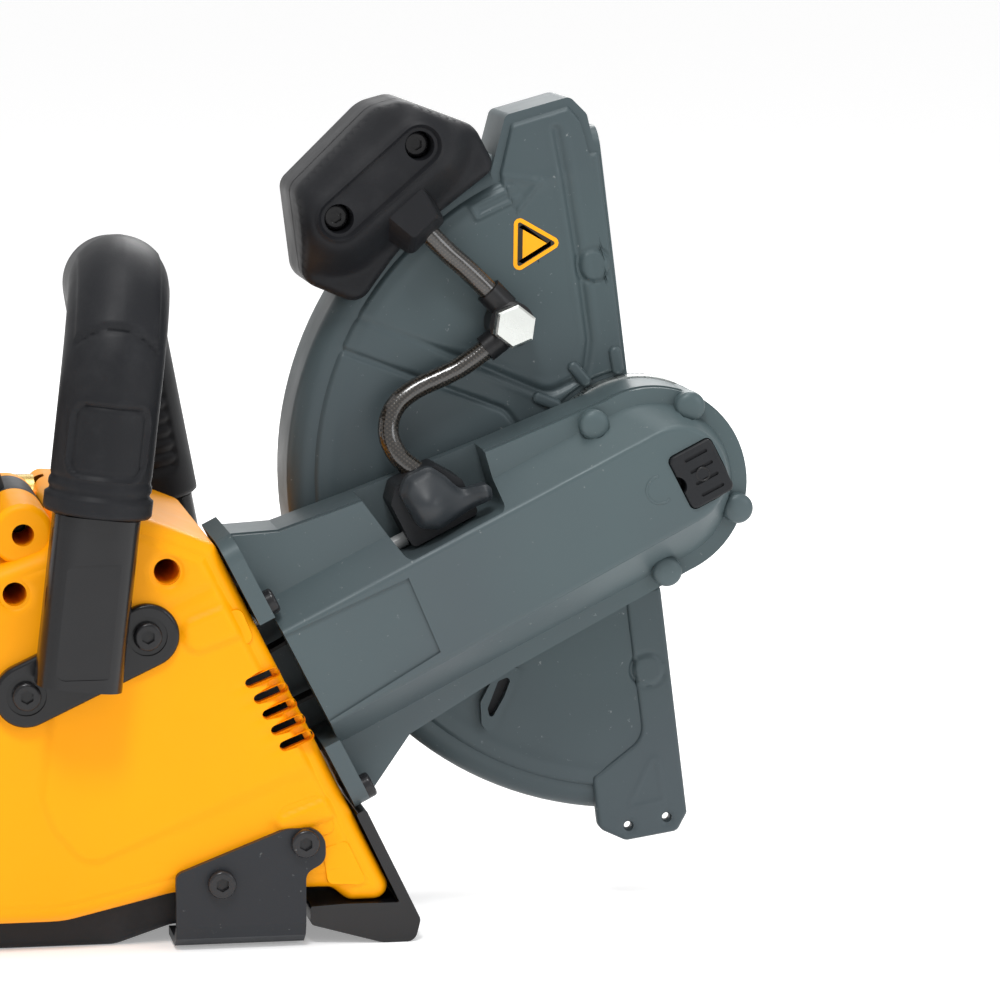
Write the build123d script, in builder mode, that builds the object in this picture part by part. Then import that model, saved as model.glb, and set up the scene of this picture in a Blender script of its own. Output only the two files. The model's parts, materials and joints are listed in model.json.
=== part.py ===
"""Hand-held cut-off saw of the rescue kind: battery motor, belt arm, swinging wheel guard with water feed.

Frame: origin on the floor under the front handle, +X forward to the wheel, +Y to the saw's left, +Z up.
Units are millimetres. The saw's right side, where the belt arm is, looks along -Y.
"""
from build123d import *
from math import cos, radians, sin
import os

os.makedirs("parts", exist_ok=True)

# ---- driving dimensions -------------------------------------------------------------------------
SPINDLE = (200, 160)          # X and Z of the wheel axis
ARM_TILT = 27                 # the belt arm rises this much towards the wheel
GUARD_TILT = 7                # the guard's front edge leans forward by this much
MOTOR_REACH = 195             # from the wheel axis back to the motor axis
BODY_HALF = 62                # half the body's width
WALL = 3                      # moulded wall thickness
FRONT_U = -148                # the body's front face, measured along the arm
ARM_BACK, ARM_SPLIT, ARM_FACE = -20, -44, -62     # the arm's layers in Y
GUARD_R, GUARD_WALL = 126, 3
GUARD_NEAR, GUARD_FAR = -12, 22                   # the guard's two sides in Y
BOSS_R = 30                   # the round boss that the guard swings on
SHAFT_R, PILOT_R, FLANGE_R = 8.5, 11.1, 25
TEETH_DRIVEN, TEETH_DRIVER = 30, 16
PULLEY_R = 15                 # belt line on the driven pulley
DRIVER_R = PULLEY_R * TEETH_DRIVER / TEETH_DRIVEN
RUN_GAP = 0.05                # radial running clearance of shafts and pins
STATOR_R, ROTOR_R = 36, 23
GRIP_R, TUBE_R = 17.8, 10.5   # front handle: rubber grip and the tube in it
REAR_HALF = 17                # half the rear handle's width
HOSE_R = 3.8
BATTERY_HALF = 42
BAY_X = (-190, -296)          # the battery bay, front and rear
BAY_ROOF, BAY_TOP = 98, 104   # the bay's roof, underside and top

CYL_UP = (Align.CENTER, Align.CENTER, Align.MIN)
CYL_DOWN = (Align.CENTER, Align.CENTER, Align.MAX)


def tilted(angle, y):
    """A plane through the wheel axis that looks to the saw's right, its x along a line at this angle."""
    a = radians(angle)
    return Plane(origin=(SPINDLE[0], y, SPINDLE[1]), x_dir=(cos(a), 0, sin(a)), z_dir=(0, -1, 0))


def arm_at(y):
    return tilted(ARM_TILT, y)


def guard_at(y):
    return tilted(GUARD_TILT, y)


def side_at(y):
    """The saw's side view: x is the row's X and y is its Z."""
    return Plane(origin=(0, y, 0), x_dir=(1, 0, 0), z_dir=(0, -1, 0))


def on_arm(u, v, y):
    """A point given along and across the arm."""
    return arm_at(y).from_local_coords(Vector(u, v, 0))


def facing(point, direction):
    """A plane at a point that looks along a direction."""
    return Plane(origin=point, z_dir=direction)


RIGHT, LEFT = (0, -1, 0), (0, 1, 0)
ALONG_ARM = (cos(radians(ARM_TILT)), 0, sin(radians(ARM_TILT)))
MOTOR = on_arm(-MOTOR_REACH, 0, 0)


def torx_screw(length, shank_r, head_r, head_h):
    """A pan-head screw that points down, its head's underside at z = 0, with a six-sided drive recess."""
    with BuildPart() as screw:
        Cylinder(head_r, head_h, align=CYL_UP)
        fillet(screw.edges().group_by(Axis.Z)[-1], head_h * 0.35)
        Cylinder(shank_r, length, align=CYL_DOWN)
        with BuildSketch(Plane.XY.offset(head_h)):
            RegularPolygon(head_r * 0.5, 6)
        extrude(amount=-head_h * 0.6, mode=Mode.SUBTRACT)
    return screw.part


def hose_radii(points):
    """For each corner, a radius as large as its two runs allow."""
    radii = []
    for before, at, after in zip(points, points[1:], points[2:]):
        into, out = at - before, after - at
        turn = radians(into.get_angle(out))
        radii.append(0.45 * min(into.length, out.length) / (sin(turn / 2) / cos(turn / 2)))
    return radii


def tube(points, radius):
    """A bent tube or lead along straight runs and tangent arcs, and its route."""
    with BuildPart() as bent:
        with BuildLine() as route:
            FilletPolyline(*points, radius=hose_radii(points))
        path = route.wires()[0]
        with BuildSketch(Plane(origin=path @ 0, z_dir=path % 0)):
            Circle(radius)
        sweep()
    return bent.part, path


# ---- body: two clamshell halves -----------------------------------------------------------------
BODY_LINE = [
    (41.3, 144), (16, 154.5), (-13, 157), (-18, 144), (-60, 129), (-190, 119),
    (-190, 11), (-13, 11), (26, 20), (82, 20), (88, 15), (105.3, 15),
]
BODY_RADII = [5, 30, 5, 6, 60, 10, 9, 40, 20, 5, 5, 5]
BODY_ROUND = 6
LOBE, LOBE_R = (-25.4, 148.7), 11     # ears that hold the rear handle's front end
LOBE_GAP = 17.4                       # the ears start this far from the mid-plane
DEEP_HOLES = [(-28.9, 128.7, 4.2), (24, 135.4, 4.4), (-120, 105, 4.2), (-175, 26, 4.2),
              (-60, 24, 4.2)]
HANDLE_SCREWS = [(-25.6, 93.5), (16.7, 113.4)]
FAR_HANDLE_SCREWS = [(14, 96), (42, 116)]
BRACKET_SCREWS = [(42, 24.5), (71.6, 38)]
VENT_COUNT, VENT_PITCH = 5, (3.0, -5.7)

with BuildPart() as body_block:
    with BuildSketch(side_at(BODY_HALF)):
        with BuildLine():
            FilletPolyline(*BODY_LINE, radius=BODY_RADII, close=True)
        make_face()
    extrude(amount=2 * BODY_HALF)
    fillet(body_block.faces().sort_by(Axis.Y)[0].outer_wire().edges(), BODY_ROUND)
    fillet(body_block.faces().sort_by(Axis.Y)[-1].outer_wire().edges(), BODY_ROUND)


def housing_half(side):
    """One half of the body shell: side 1 is the right half, -1 the left."""
    with BuildPart() as half:
        add(body_block.part)
        ear_length = BODY_HALF - 4 - LOBE_GAP if side > 0 else 10
        with Locations(facing((LOBE[0], -side * LOBE_GAP, LOBE[1]), (0, -side, 0))):
            Cylinder(LOBE_R, ear_length, align=CYL_UP)
        ear_rim = half.edges().filter_by(GeomType.CIRCLE).filter_by(
            lambda e: abs(abs(e.center().Y) - LOBE_GAP - ear_length) < 0.5 and abs(e.radius - LOBE_R) < 0.1)
        fillet(ear_rim, 2.5)
        split(bisect_by=Plane.XZ, keep=Keep.TOP if side > 0 else Keep.BOTTOM)
        with BuildSketch(side_at(0)):
            with BuildLine():
                FilletPolyline(*BODY_LINE, radius=BODY_RADII, close=True)
            make_face()
            offset(amount=-WALL)
        extrude(amount=side * (BODY_HALF - WALL), mode=Mode.SUBTRACT)
        # screw towers that join the halves
        for x, z, r in DEEP_HOLES:
            with BuildSketch(side_at(0)):
                with Locations((x, z)):
                    Circle(r + 2.4)
            extrude(amount=side * (BODY_HALF - WALL + 0.5))
        for x, z, r in DEEP_HOLES:
            with BuildSketch(side_at(0)):
                with Locations((x, z)):
                    Circle(2.0)
            extrude(amount=side * (10 if side > 0 else 20), mode=Mode.SUBTRACT)
            if side > 0:
                with BuildSketch(side_at(-10)):
                    with Locations((x, z)):
                        Circle(r)
                extrude(amount=BODY_HALF, mode=Mode.SUBTRACT)
        with Locations(facing((LOBE[0], -LOBE_GAP - 8.6, LOBE[1]), RIGHT)):
            Cylinder(2, 100, mode=Mode.SUBTRACT)
            Cylinder(3.9, 60, align=CYL_UP, mode=Mode.SUBTRACT)
        # window for the battery terminals
        with BuildSketch(Plane.YZ.offset(BAY_X[0] - 1)):
            with Locations((0, 56)):
                RectangleRounded(44, 28, 3)
        extrude(amount=8, mode=Mode.SUBTRACT)
        # space between the ears for the rear handle
        with BuildSketch(side_at(LOBE_GAP)):
            with Locations(LOBE):
                Circle(LOBE_R + 0.5)
        extrude(amount=2 * LOBE_GAP, mode=Mode.SUBTRACT)
    return half.part


right_block, left_block = housing_half(1), housing_half(-1)

with BuildPart() as right_housing:
    add(right_block)
    # opening in the slanted front for the belt arm
    with BuildSketch(arm_at(ARM_BACK + 0.3)):
        with Locations((FRONT_U, 0)):
            Rectangle(30, 80)
    extrude(amount=32.3, mode=Mode.SUBTRACT)
    # raised pads pressed out of the side wall
    with BuildSketch(side_at(-BODY_HALF)):
        with BuildLine():
            FilletPolyline((31, 117), (50, 122), (55, 110), (37, 103), radius=3, close=True)
        make_face()
        with BuildLine():
            FilletPolyline((62, 50), (77, 55), (84, 41), (69, 37), radius=3, close=True)
        make_face()
        with BuildLine():
            FilletPolyline((78, 35), (87, 38), (95, 21), (80, 22), radius=2.5, close=True)
        make_face()
    extrude(amount=0.9, taper=20)
    # five slanted vent slots with their raised surround
    for i in range(VENT_COUNT):
        with BuildSketch(side_at(-BODY_HALF - 1)):
            with Locations(Location((57.2 + i * VENT_PITCH[0], 97 + i * VENT_PITCH[1], 0), (0, 0, 1), 22)):
                SlotOverall(12.5, 3.2)
        extrude(amount=-WALL - 2, mode=Mode.SUBTRACT)
    # seats and pilot holes of the handle and bracket screws
    for x, z in HANDLE_SCREWS + BRACKET_SCREWS:
        with BuildSketch(side_at(-BODY_HALF + WALL - 0.5)):
            with Locations((x, z)):
                Circle(4.3)
        extrude(amount=-14)
        with BuildSketch(side_at(-BODY_HALF - 1)):
            with Locations((x, z)):
                Circle(2.5)
        extrude(amount=-14, mode=Mode.SUBTRACT)
right_housing.part.label = "right_housing"
export_step(right_housing.part, "parts/right_housing.step")

REAR_BEARING_Y = 34
INLET = (38, 148)             # Y and Z of the water inlet's axis

with BuildPart() as left_housing:
    add(left_block)
    # seat of the motor's rear bearing on the inside of the far wall
    with Locations(facing((MOTOR.X, BODY_HALF - WALL + 0.5, MOTOR.Z), RIGHT)):
        Cylinder(15, BODY_HALF - WALL + 0.5 - REAR_BEARING_Y, align=CYL_UP)
    with Locations(facing((MOTOR.X, REAR_BEARING_Y - 1, MOTOR.Z), LEFT)):
        Cylinder(11, 8, align=CYL_UP, mode=Mode.SUBTRACT)
    with Locations(facing((MOTOR.X, REAR_BEARING_Y - 1, MOTOR.Z), LEFT)):
        Cylinder(6, 12, align=CYL_UP, mode=Mode.SUBTRACT)
    # cooling-air grille over the fan
    for row in range(4):
        with BuildSketch(side_at(BODY_HALF + 1)):
            with Locations((MOTOR.X, MOTOR.Z + 17 + row * 6)):
                SlotOverall(40 - row * 5, 3.2)
            with Locations((MOTOR.X, MOTOR.Z - 17 - row * 6)):
                SlotOverall(40 - row * 5, 3.2)
        extrude(amount=WALL + 2, mode=Mode.SUBTRACT)
    for x, z in FAR_HANDLE_SCREWS + BRACKET_SCREWS:
        with BuildSketch(side_at(BODY_HALF - WALL + 0.5)):
            with Locations((x, z)):
                Circle(4.3)
        extrude(amount=14)
        with BuildSketch(side_at(BODY_HALF + 1)):
            with Locations((x, z)):
                Circle(2.5)
        extrude(amount=14, mode=Mode.SUBTRACT)
    # saddle for the water inlet
    with Locations(facing((-10, INLET[0], INLET[1]), (-1, 0, 0))):
        Cylinder(9.2, 40, align=CYL_UP, mode=Mode.SUBTRACT)
left_housing.part.label = "left_housing"
export_step(left_housing.part, "parts/left_housing.step")

# ---- base, brackets and deflector ---------------------------------------------------------------
with BuildPart() as base_frame:
    with BuildSketch(side_at(50)):
        with BuildLine():
            FilletPolyline((-186, 0), (6, 0), (26, 6.5), (72, 8.5), (72, 24), (-186, 16),
                           radius=[8, 14, 14, 2, 2, 2], close=True)
        make_face()
    extrude(amount=100)
    fillet(base_frame.edges().group_by(Axis.Z)[0].filter_by(Axis.X), 3)
    add(body_block.part, mode=Mode.SUBTRACT)
    # long hollow under the tray
    with BuildSketch(Plane.XY):
        with Locations((-97.5, 0)):
            RectangleRounded(155, 66, 8)
    extrude(amount=7, mode=Mode.SUBTRACT)
base_frame.part.label = "base_frame"
export_step(base_frame.part, "parts/base_frame.step")

with BuildPart() as foot_brackets:
    # the right plate, with its ear round the forward screw
    with BuildSketch(side_at(-BODY_HALF - 1)):
        with BuildLine():
            FilletPolyline((26, 9), (26, 28), (65, 43), (79, 43), (79, 31), (72, 27), (72, 9),
                           radius=[0.5, 3, 7, 6.5, 5, 4, 0.5], close=True)
        make_face()
        with Locations(*BRACKET_SCREWS):
            Circle(2.6, mode=Mode.SUBTRACT)
    extrude(amount=3)
    # the folded lip that goes under the tray
    with BuildSketch(Plane(origin=(26, 0, 0), x_dir=(0, 1, 0), z_dir=(1, 0, 0))):
        with BuildLine():
            Polyline((-66, 9), (-64, 4.5), (-59, 1.2), (-40, 1.2), (-40, 4.2), (-57.5, 4.2), (-61.5, 7),
                     (-63, 9), close=True)
        make_face()
    extrude(amount=46)
    mirror(about=Plane.XZ)
foot_brackets.part.label = "foot_brackets"
export_step(foot_brackets.part, "parts/foot_brackets.step")

with BuildPart() as debris_deflector:
    with BuildSketch(side_at(BODY_HALF)):
        with BuildLine():
            FilletPolyline((90.5, 46.6), (94, 48.4), (113.5, 8), (111.5, 0), (100, 0), (74, 7.5), (74, 14),
                           (86, 14.6), (106, 14.4),
                           radius=[0.8, 1, 3, 4, 10, 2, 1, 1, 0.6], close=True)
        make_face()
    extrude(amount=2 * BODY_HALF)
    add(body_block.part, mode=Mode.SUBTRACT)
    # the hollow behind the flap, left open below
    with BuildSketch(Plane.XY.offset(-1)):
        with Locations((92, 0)):
            Rectangle(26, 112)
    extrude(amount=9, mode=Mode.SUBTRACT)
debris_deflector.part.label = "debris_deflector"
export_step(debris_deflector.part, "parts/debris_deflector.step")

# ---- belt arm ------------------------------------------------------------------------------------
ARM_LINE = [(-142, 56), (-126, 49), (-97, 45), (-45, 39), (-2, 34.9), (1, -34.9), (-74, -36), (-118, -39),
            (-142, -52)]
NOTCH = [(-98, 62), (-91, 19.5), (-52, 19.5), (-44, 62)]
ARM_END_R = 35
FLANGE_SCREWS = [(30, -57), (-45, -57), (30, -21), (-45, -21)]    # across the arm, Y
COVER_BOSSES = [(-9.5, 29.5), (24, 19), (23, -22), (-10, -30)]
BEARING_R = 17.5
WATER_V, WATER_Y, WATER_R = 22.6, -35, 2.6        # the water tube in the arm
LOCK_CENTRE, LOCK_WINDOW = (15.2, -1.8), (17.6, 21.4)


def arm_sketch(cut_back):
    """The arm's outline seen from the side, drawn in by cut_back."""
    with BuildSketch() as outline:
        with BuildLine():
            Polyline(*ARM_LINE, close=True)
        make_face()
        Circle(ARM_END_R)
        offset(amount=-cut_back)
        with Locations((-146 - 10, 0)):
            Rectangle(20, 140, mode=Mode.SUBTRACT)
    return outline.sketch


with BuildPart() as arm_housing:
    with BuildSketch(arm_at(ARM_BACK)):
        add(arm_sketch(0))
        with Locations((-142, 0)):
            Rectangle(2, 104, align=(Align.MAX, Align.CENTER))
    extrude(amount=ARM_BACK - ARM_SPLIT)
    # the flange strip that closes the body's slanted front
    with BuildSketch(arm_at(-14)):
        with Locations((FRONT_U, 4)):
            Rectangle(6, 108, align=(Align.MIN, Align.CENTER))
    extrude(amount=50)
    fillet(arm_housing.edges().filter_by(
        lambda e: e.length > 5.5 and e.length < 6.5 and abs(e.center().Y + 64) < 0.5), 9)
    # the plate inside the body that carries the motor
    with BuildSketch(arm_at(ARM_BACK)):
        with Locations(((FRONT_U - MOTOR_REACH) / 2, 0)):
            Rectangle(MOTOR_REACH + FRONT_U + 1, 66)
        with Locations((-MOTOR_REACH, 0)):
            Circle(40)
    extrude(amount=6)
    # belt channel
    with BuildSketch(arm_at(ARM_BACK - 5)):
        with BuildLine():
            Polyline((-152, 25.6), (-104, 25.6), (-104, 16.2), (-40, 16.2), (-25, 26), (0, 27), (0, -27),
                     (-152, -24), close=True)
        make_face()
        Circle(27)
    extrude(amount=40, mode=Mode.SUBTRACT)
    with BuildSketch(arm_at(ARM_BACK - 6.01)):
        with Locations((-MOTOR_REACH, 0)):
            Circle(20)
    extrude(amount=1, mode=Mode.SUBTRACT)
    # recess in the arm's top for the water valve
    with BuildSketch(arm_at(-26)):
        with BuildLine():
            FilletPolyline(*NOTCH, radius=[1, 3, 3, 1], close=True)
        make_face()
    extrude(amount=40, mode=Mode.SUBTRACT)
    # way through the recess's end wall for the water tube
    with Locations(facing(on_arm(-106, WATER_V, WATER_Y), ALONG_ARM)):
        Cylinder(WATER_R, 20, align=CYL_UP, mode=Mode.SUBTRACT)
    # boss that the guard swings on, with the spindle bearings' bore
    with BuildSketch(arm_at(-8.7)):
        Circle(BOSS_R)
    extrude(amount=12)
    with BuildSketch(arm_at(-8)):
        Circle(BEARING_R)
    extrude(amount=20, mode=Mode.SUBTRACT)
    # motor bearing bore
    with BuildSketch(arm_at(-19)):
        with Locations((-MOTOR_REACH, 0)):
            Circle(11)
    extrude(amount=10, mode=Mode.SUBTRACT)
    # cover screw bosses outside the channel
    for u, v in COVER_BOSSES:
        with BuildSketch(arm_at(ARM_BACK - 6)):
            with Locations((u, v)):
                Circle(5.2)
        extrude(amount=ARM_BACK - ARM_SPLIT - 6)
        with BuildSketch(arm_at(-33)):
            with Locations((u, v)):
                Circle(2)
        extrude(amount=20, mode=Mode.SUBTRACT)
    # flange screw holes, along the arm
    for v, y in FLANGE_SCREWS:
        with Locations(facing(on_arm(-142, v, y), ALONG_ARM)):
            Cylinder(2.6, 9, align=CYL_DOWN, mode=Mode.SUBTRACT)
            Cylinder(5.2, 9, align=CYL_UP, mode=Mode.SUBTRACT)
    # threaded holes of the guard retainer
    with BuildSketch(arm_at(-8)):
        with PolarLocations(24, 4, start_angle=45):
            Circle(1.6)
    extrude(amount=10, mode=Mode.SUBTRACT)
arm_housing.part.label = "arm_housing"
export_step(arm_housing.part, "parts/arm_housing.step")

with BuildPart() as arm_cover:
    with BuildSketch(arm_at(ARM_SPLIT)):
        add(arm_sketch(0.6))
    extrude(amount=3)
    # raised long panel: its sides slope from the rim up to the flat face
    with BuildSketch(arm_at(ARM_SPLIT - 3)):
        with BuildLine():
            Polyline((0, -29), (-142, -29), (-142, 29), (0, 29))
            RadiusArc((0, 29), (0, -29), 29)
        make_face()
    with BuildSketch(arm_at(ARM_FACE)):
        with BuildLine():
            Polyline((8, -16), (-142, -18), (-142, 19), (8, 18.5))
            RadiusArc((8, 18.5), (8, -16), 17.25)
        make_face()
    loft(ruled=True)
    fillet(arm_cover.faces().sort_by(Axis.Y)[0].outer_wire().edges().filter_by(
        lambda e: (e @ 0.5 - on_arm(-142, 0, ARM_FACE)).length > 25), 2.5)
    # shallow step across the face near the body
    with BuildSketch(arm_at(ARM_FACE)):
        with BuildLine():
            Polyline((-142, -17), (-96, -14), (-94, 15), (-142, 18), close=True)
        make_face()
    extrude(amount=-1, taper=-30, mode=Mode.SUBTRACT)
    # hollow over the belt
    with BuildSketch(arm_at(ARM_SPLIT + 0.01)):
        with BuildLine():
            Polyline((0, -24.5), (-136, -22), (-136, 16.2), (-40, 16.2), (-25, 24.5), (0, 24.5))
            RadiusArc((0, 24.5), (0, -24.5), 24.5)
        make_face()
    extrude(amount=8, mode=Mode.SUBTRACT)
    with BuildSketch(arm_at(ARM_SPLIT - 8)):
        with BuildLine():
            Polyline((0, -15), (-136, -15), (-136, 15), (0, 15))
            RadiusArc((0, 15), (0, -15), 15)
        make_face()
    extrude(amount=6, mode=Mode.SUBTRACT)
    # valve recess
    with BuildSketch(arm_at(ARM_SPLIT + 1)):
        with BuildLine():
            FilletPolyline(*NOTCH, radius=[1, 3, 3, 1], close=True)
        make_face()
    extrude(amount=30, mode=Mode.SUBTRACT)
    # window of the lock button
    with BuildSketch(arm_at(ARM_SPLIT - 1)):
        with Locations(LOCK_CENTRE):
            RectangleRounded(*LOCK_WINDOW, 2.5)
    extrude(amount=20, mode=Mode.SUBTRACT)
    # screw bosses with their counterbored holes
    for u, v in COVER_BOSSES:
        with BuildSketch(arm_at(ARM_SPLIT)):
            with Locations((u, v)):
                Circle(5.2)
        extrude(amount=4.5)
    for u, v in COVER_BOSSES:
        with BuildSketch(arm_at(ARM_SPLIT)):
            with Locations((u, v)):
                Circle(2)
        extrude(amount=4.5, mode=Mode.SUBTRACT)
        with BuildSketch(arm_at(ARM_SPLIT - 4.5)):
            with Locations((u, v)):
                Circle(4.6)
        extrude(amount=6, mode=Mode.SUBTRACT)
    for v, y in FLANGE_SCREWS[:2]:
        with Locations(facing(on_arm(-142, v, y), ALONG_ARM)):
            Cylinder(5.2, 9, align=CYL_UP, mode=Mode.SUBTRACT)
arm_cover.part.label = "arm_cover"
export_step(arm_cover.part, "parts/arm_cover.step")

cover_screw = torx_screw(9, 2, 4.2, 2.6)
with BuildPart() as arm_cover_screws:
    with Locations(*[facing(on_arm(u, v, ARM_SPLIT - 4.5), RIGHT) for u, v in COVER_BOSSES]):
        add(cover_screw)
arm_cover_screws.part.label = "arm_cover_screws"
export_step(arm_cover_screws.part, "parts/arm_cover_screws.step")

flange_screw = torx_screw(6, 2.6, 4.6, 3.4)
with BuildPart() as arm_flange_screws:
    with Locations(*[facing(on_arm(-142, v, y), ALONG_ARM) for v, y in FLANGE_SCREWS]):
        add(flange_screw)
arm_flange_screws.part.label = "arm_flange_screws"
export_step(arm_flange_screws.part, "parts/arm_flange_screws.step")

with BuildPart() as hub_ring:
    with BuildSketch(arm_at(-12.4)):
        Circle(35.6)
        Circle(BOSS_R + 0.02, mode=Mode.SUBTRACT)
    extrude(amount=7.5)
    chamfer(hub_ring.edges().group_by(Axis.Y)[-1], 0.8)
hub_ring.part.label = "hub_ring"
export_step(hub_ring.part, "parts/hub_ring.step")

with BuildPart() as guard_retainer:
    with BuildSketch(arm_at(-5.9)):
        Circle(34)
        Circle(12, mode=Mode.SUBTRACT)
    extrude(amount=2.8)
    with BuildSketch(arm_at(-5.9)):
        with PolarLocations(24, 4, start_angle=45):
            Circle(1.7)
    extrude(amount=2.8, mode=Mode.SUBTRACT)
guard_retainer.part.label = "guard_retainer"
export_step(guard_retainer.part, "parts/guard_retainer.step")

retainer_screw = torx_screw(9, 1.6, 3, 0.9)
with BuildPart() as retainer_screws:
    for k in range(4):
        a = radians(45 + 90 * k)
        with Locations(facing(on_arm(24 * cos(a), 24 * sin(a), -5.9), LEFT)):
            add(retainer_screw)
retainer_screws.part.label = "retainer_screws"
export_step(retainer_screws.part, "parts/retainer_screws.step")


def bearing(outer_r, inner_r, width, plane):
    """A shielded ball bearing drawn as one closed ring with grooved shields, rising from a plane."""
    with BuildPart() as ring:
        with BuildSketch(plane):
            Circle(outer_r)
            Circle(inner_r, mode=Mode.SUBTRACT)
        extrude(amount=width)
        with BuildSketch(plane, plane.offset(width - 0.6)):
            Circle(outer_r * 0.86)
            Circle(inner_r * 1.3, mode=Mode.SUBTRACT)
        extrude(amount=0.6, mode=Mode.SUBTRACT)
    return ring.part


with BuildPart() as spindle_bearings:
    add(bearing(BEARING_R, SHAFT_R + RUN_GAP, 8, arm_at(-9.5)))
    add(bearing(BEARING_R, SHAFT_R + RUN_GAP, 8, arm_at(-19.5)))
spindle_bearings.part.label = "spindle_bearings"
export_step(spindle_bearings.part, "parts/spindle_bearings.step")

# ---- spindle and wheel clamp --------------------------------------------------------------------
BELT_NEAR, BELT_FAR = -41, -30
LOCK_HOLES, LOCK_PIN_U = 8, 16

with BuildPart() as spindle_shaft:
    with BuildSketch(arm_at(2)):
        Circle(SHAFT_R)
    extrude(amount=45)
    with BuildSketch(arm_at(2)):
        Circle(5 + RUN_GAP)
    extrude(amount=24, mode=Mode.SUBTRACT)
spindle_shaft.part.label = "spindle_shaft"
export_step(spindle_shaft.part, "parts/spindle_shaft.step")

with BuildPart() as inner_flange:
    with BuildSketch(arm_at(2.5)):
        Circle(FLANGE_R)
    extrude(amount=7)
    chamfer(inner_flange.edges().group_by(Axis.Y)[0], 1.5)
    with BuildSketch(arm_at(6.5)):
        Circle(PILOT_R)
    extrude(amount=4)
    # relief that leaves a clamping rim
    with BuildSketch(arm_at(2.5)):
        Circle(FLANGE_R - 6)
        Circle(PILOT_R, mode=Mode.SUBTRACT)
    extrude(amount=0.8, mode=Mode.SUBTRACT)
    with BuildSketch(arm_at(2)):
        Circle(SHAFT_R)
    extrude(amount=8, mode=Mode.SUBTRACT)
    with BuildSketch(arm_at(7)):
        Circle(5.3)
    extrude(amount=6, mode=Mode.SUBTRACT)
inner_flange.part.label = "inner_flange"
export_step(inner_flange.part, "parts/inner_flange.step")


def pulley_body(radius, teeth, u):
    """A toothed belt pulley with two low flanges, across the belt's width."""
    with BuildPart() as wheel:
        with BuildSketch(arm_at(BELT_FAR)):
            with Locations((u, 0)):
                Circle(radius - 0.3)
        extrude(amount=BELT_FAR - BELT_NEAR)
        with BuildSketch(arm_at(BELT_FAR)):
            with Locations((u, 0)):
                with PolarLocations(radius - 0.3, teeth):
                    Circle(0.75)
        extrude(amount=BELT_FAR - BELT_NEAR, mode=Mode.SUBTRACT)
        with BuildSketch(arm_at(BELT_FAR + 1.2), arm_at(BELT_NEAR)):
            with Locations((u, 0)):
                Circle(radius + 2)
        extrude(amount=1.2)
    return wheel.part


with BuildPart() as driven_pulley:
    add(pulley_body(PULLEY_R, TEETH_DRIVEN, 0))
    # lock disc: the button's pin drops into one of its holes
    with BuildSketch(arm_at(BELT_NEAR - 1)):
        Circle(21.5)
    extrude(amount=2.2)
    with BuildSketch(arm_at(BELT_NEAR - 1)):
        with PolarLocations(LOCK_PIN_U, LOCK_HOLES):
            Circle(3.2)
    extrude(amount=2.2, mode=Mode.SUBTRACT)
    with BuildSketch(arm_at(BELT_FAR + 2)):
        Circle(SHAFT_R)
    extrude(amount=20, mode=Mode.SUBTRACT)
driven_pulley.part.label = "driven_pulley"
export_step(driven_pulley.part, "parts/driven_pulley.step")

with BuildPart() as outer_flange:
    with BuildSketch(arm_at(11)):
        Circle(FLANGE_R)
    extrude(amount=5)
    chamfer(outer_flange.edges().group_by(Axis.Y)[-1], 1.5)
    with BuildSketch(arm_at(8)):
        Circle(PILOT_R + 0.3)
    extrude(amount=3, mode=Mode.SUBTRACT)
    with BuildSketch(arm_at(6.8)):
        Circle(FLANGE_R - 6)
    extrude(amount=1, mode=Mode.SUBTRACT)
    with BuildSketch(arm_at(12)):
        Circle(4.95)
    extrude(amount=6, mode=Mode.SUBTRACT)
outer_flange.part.label = "outer_flange"
export_step(outer_flange.part, "parts/outer_flange.step")

with BuildPart() as arbor_bolt:
    with BuildSketch(arm_at(13)):
        Circle(10)
    extrude(amount=2)
    with BuildSketch(arm_at(19)):
        RegularPolygon(8.5, 6, major_radius=False)
    extrude(amount=6)
    chamfer(arbor_bolt.edges().group_by(Axis.Y)[-1], 0.8)
    with BuildSketch(arm_at(11)):
        Circle(4.95)
    extrude(amount=30)
arbor_bolt.part.label = "arbor_bolt"
export_step(arbor_bolt.part, "parts/arbor_bolt.step")

with BuildPart() as spindle_lock_button:
    with BuildSketch(arm_at(-51)):
        with Locations(LOCK_CENTRE):
            RectangleRounded(LOCK_WINDOW[0] - 0.7, LOCK_WINDOW[1] - 0.7, 2.3)
    extrude(amount=12.5)
    fillet(spindle_lock_button.faces().sort_by(Axis.Y)[0].edges(), 1)
    # finger ribs along the arm and the notched rear edge
    for k in range(4):
        with BuildSketch(arm_at(-62.6)):
            with Locations((LOCK_CENTRE[0] + 1, LOCK_CENTRE[1] - 6.9 + 4.6 * k)):
                SlotOverall(9, 1.2)
        extrude(amount=2, mode=Mode.SUBTRACT)
    with BuildSketch(arm_at(-54)):
        with Locations((LOCK_CENTRE[0] - LOCK_WINDOW[0] / 2 - 1.2, LOCK_CENTRE[1])):
            Circle(3.6)
    extrude(amount=12, mode=Mode.SUBTRACT)
    # pin that stops just short of the lock disc
    with BuildSketch(arm_at(BELT_NEAR - 5)):
        with Locations((LOCK_PIN_U, 0)):
            Circle(2.7)
    extrude(amount=6)
spindle_lock_button.part.label = "spindle_lock_button"
export_step(spindle_lock_button.part, "parts/spindle_lock_button.step")

# ---- belt drive and motor -----------------------------------------------------------------------
BELT_T = 2.0


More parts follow.
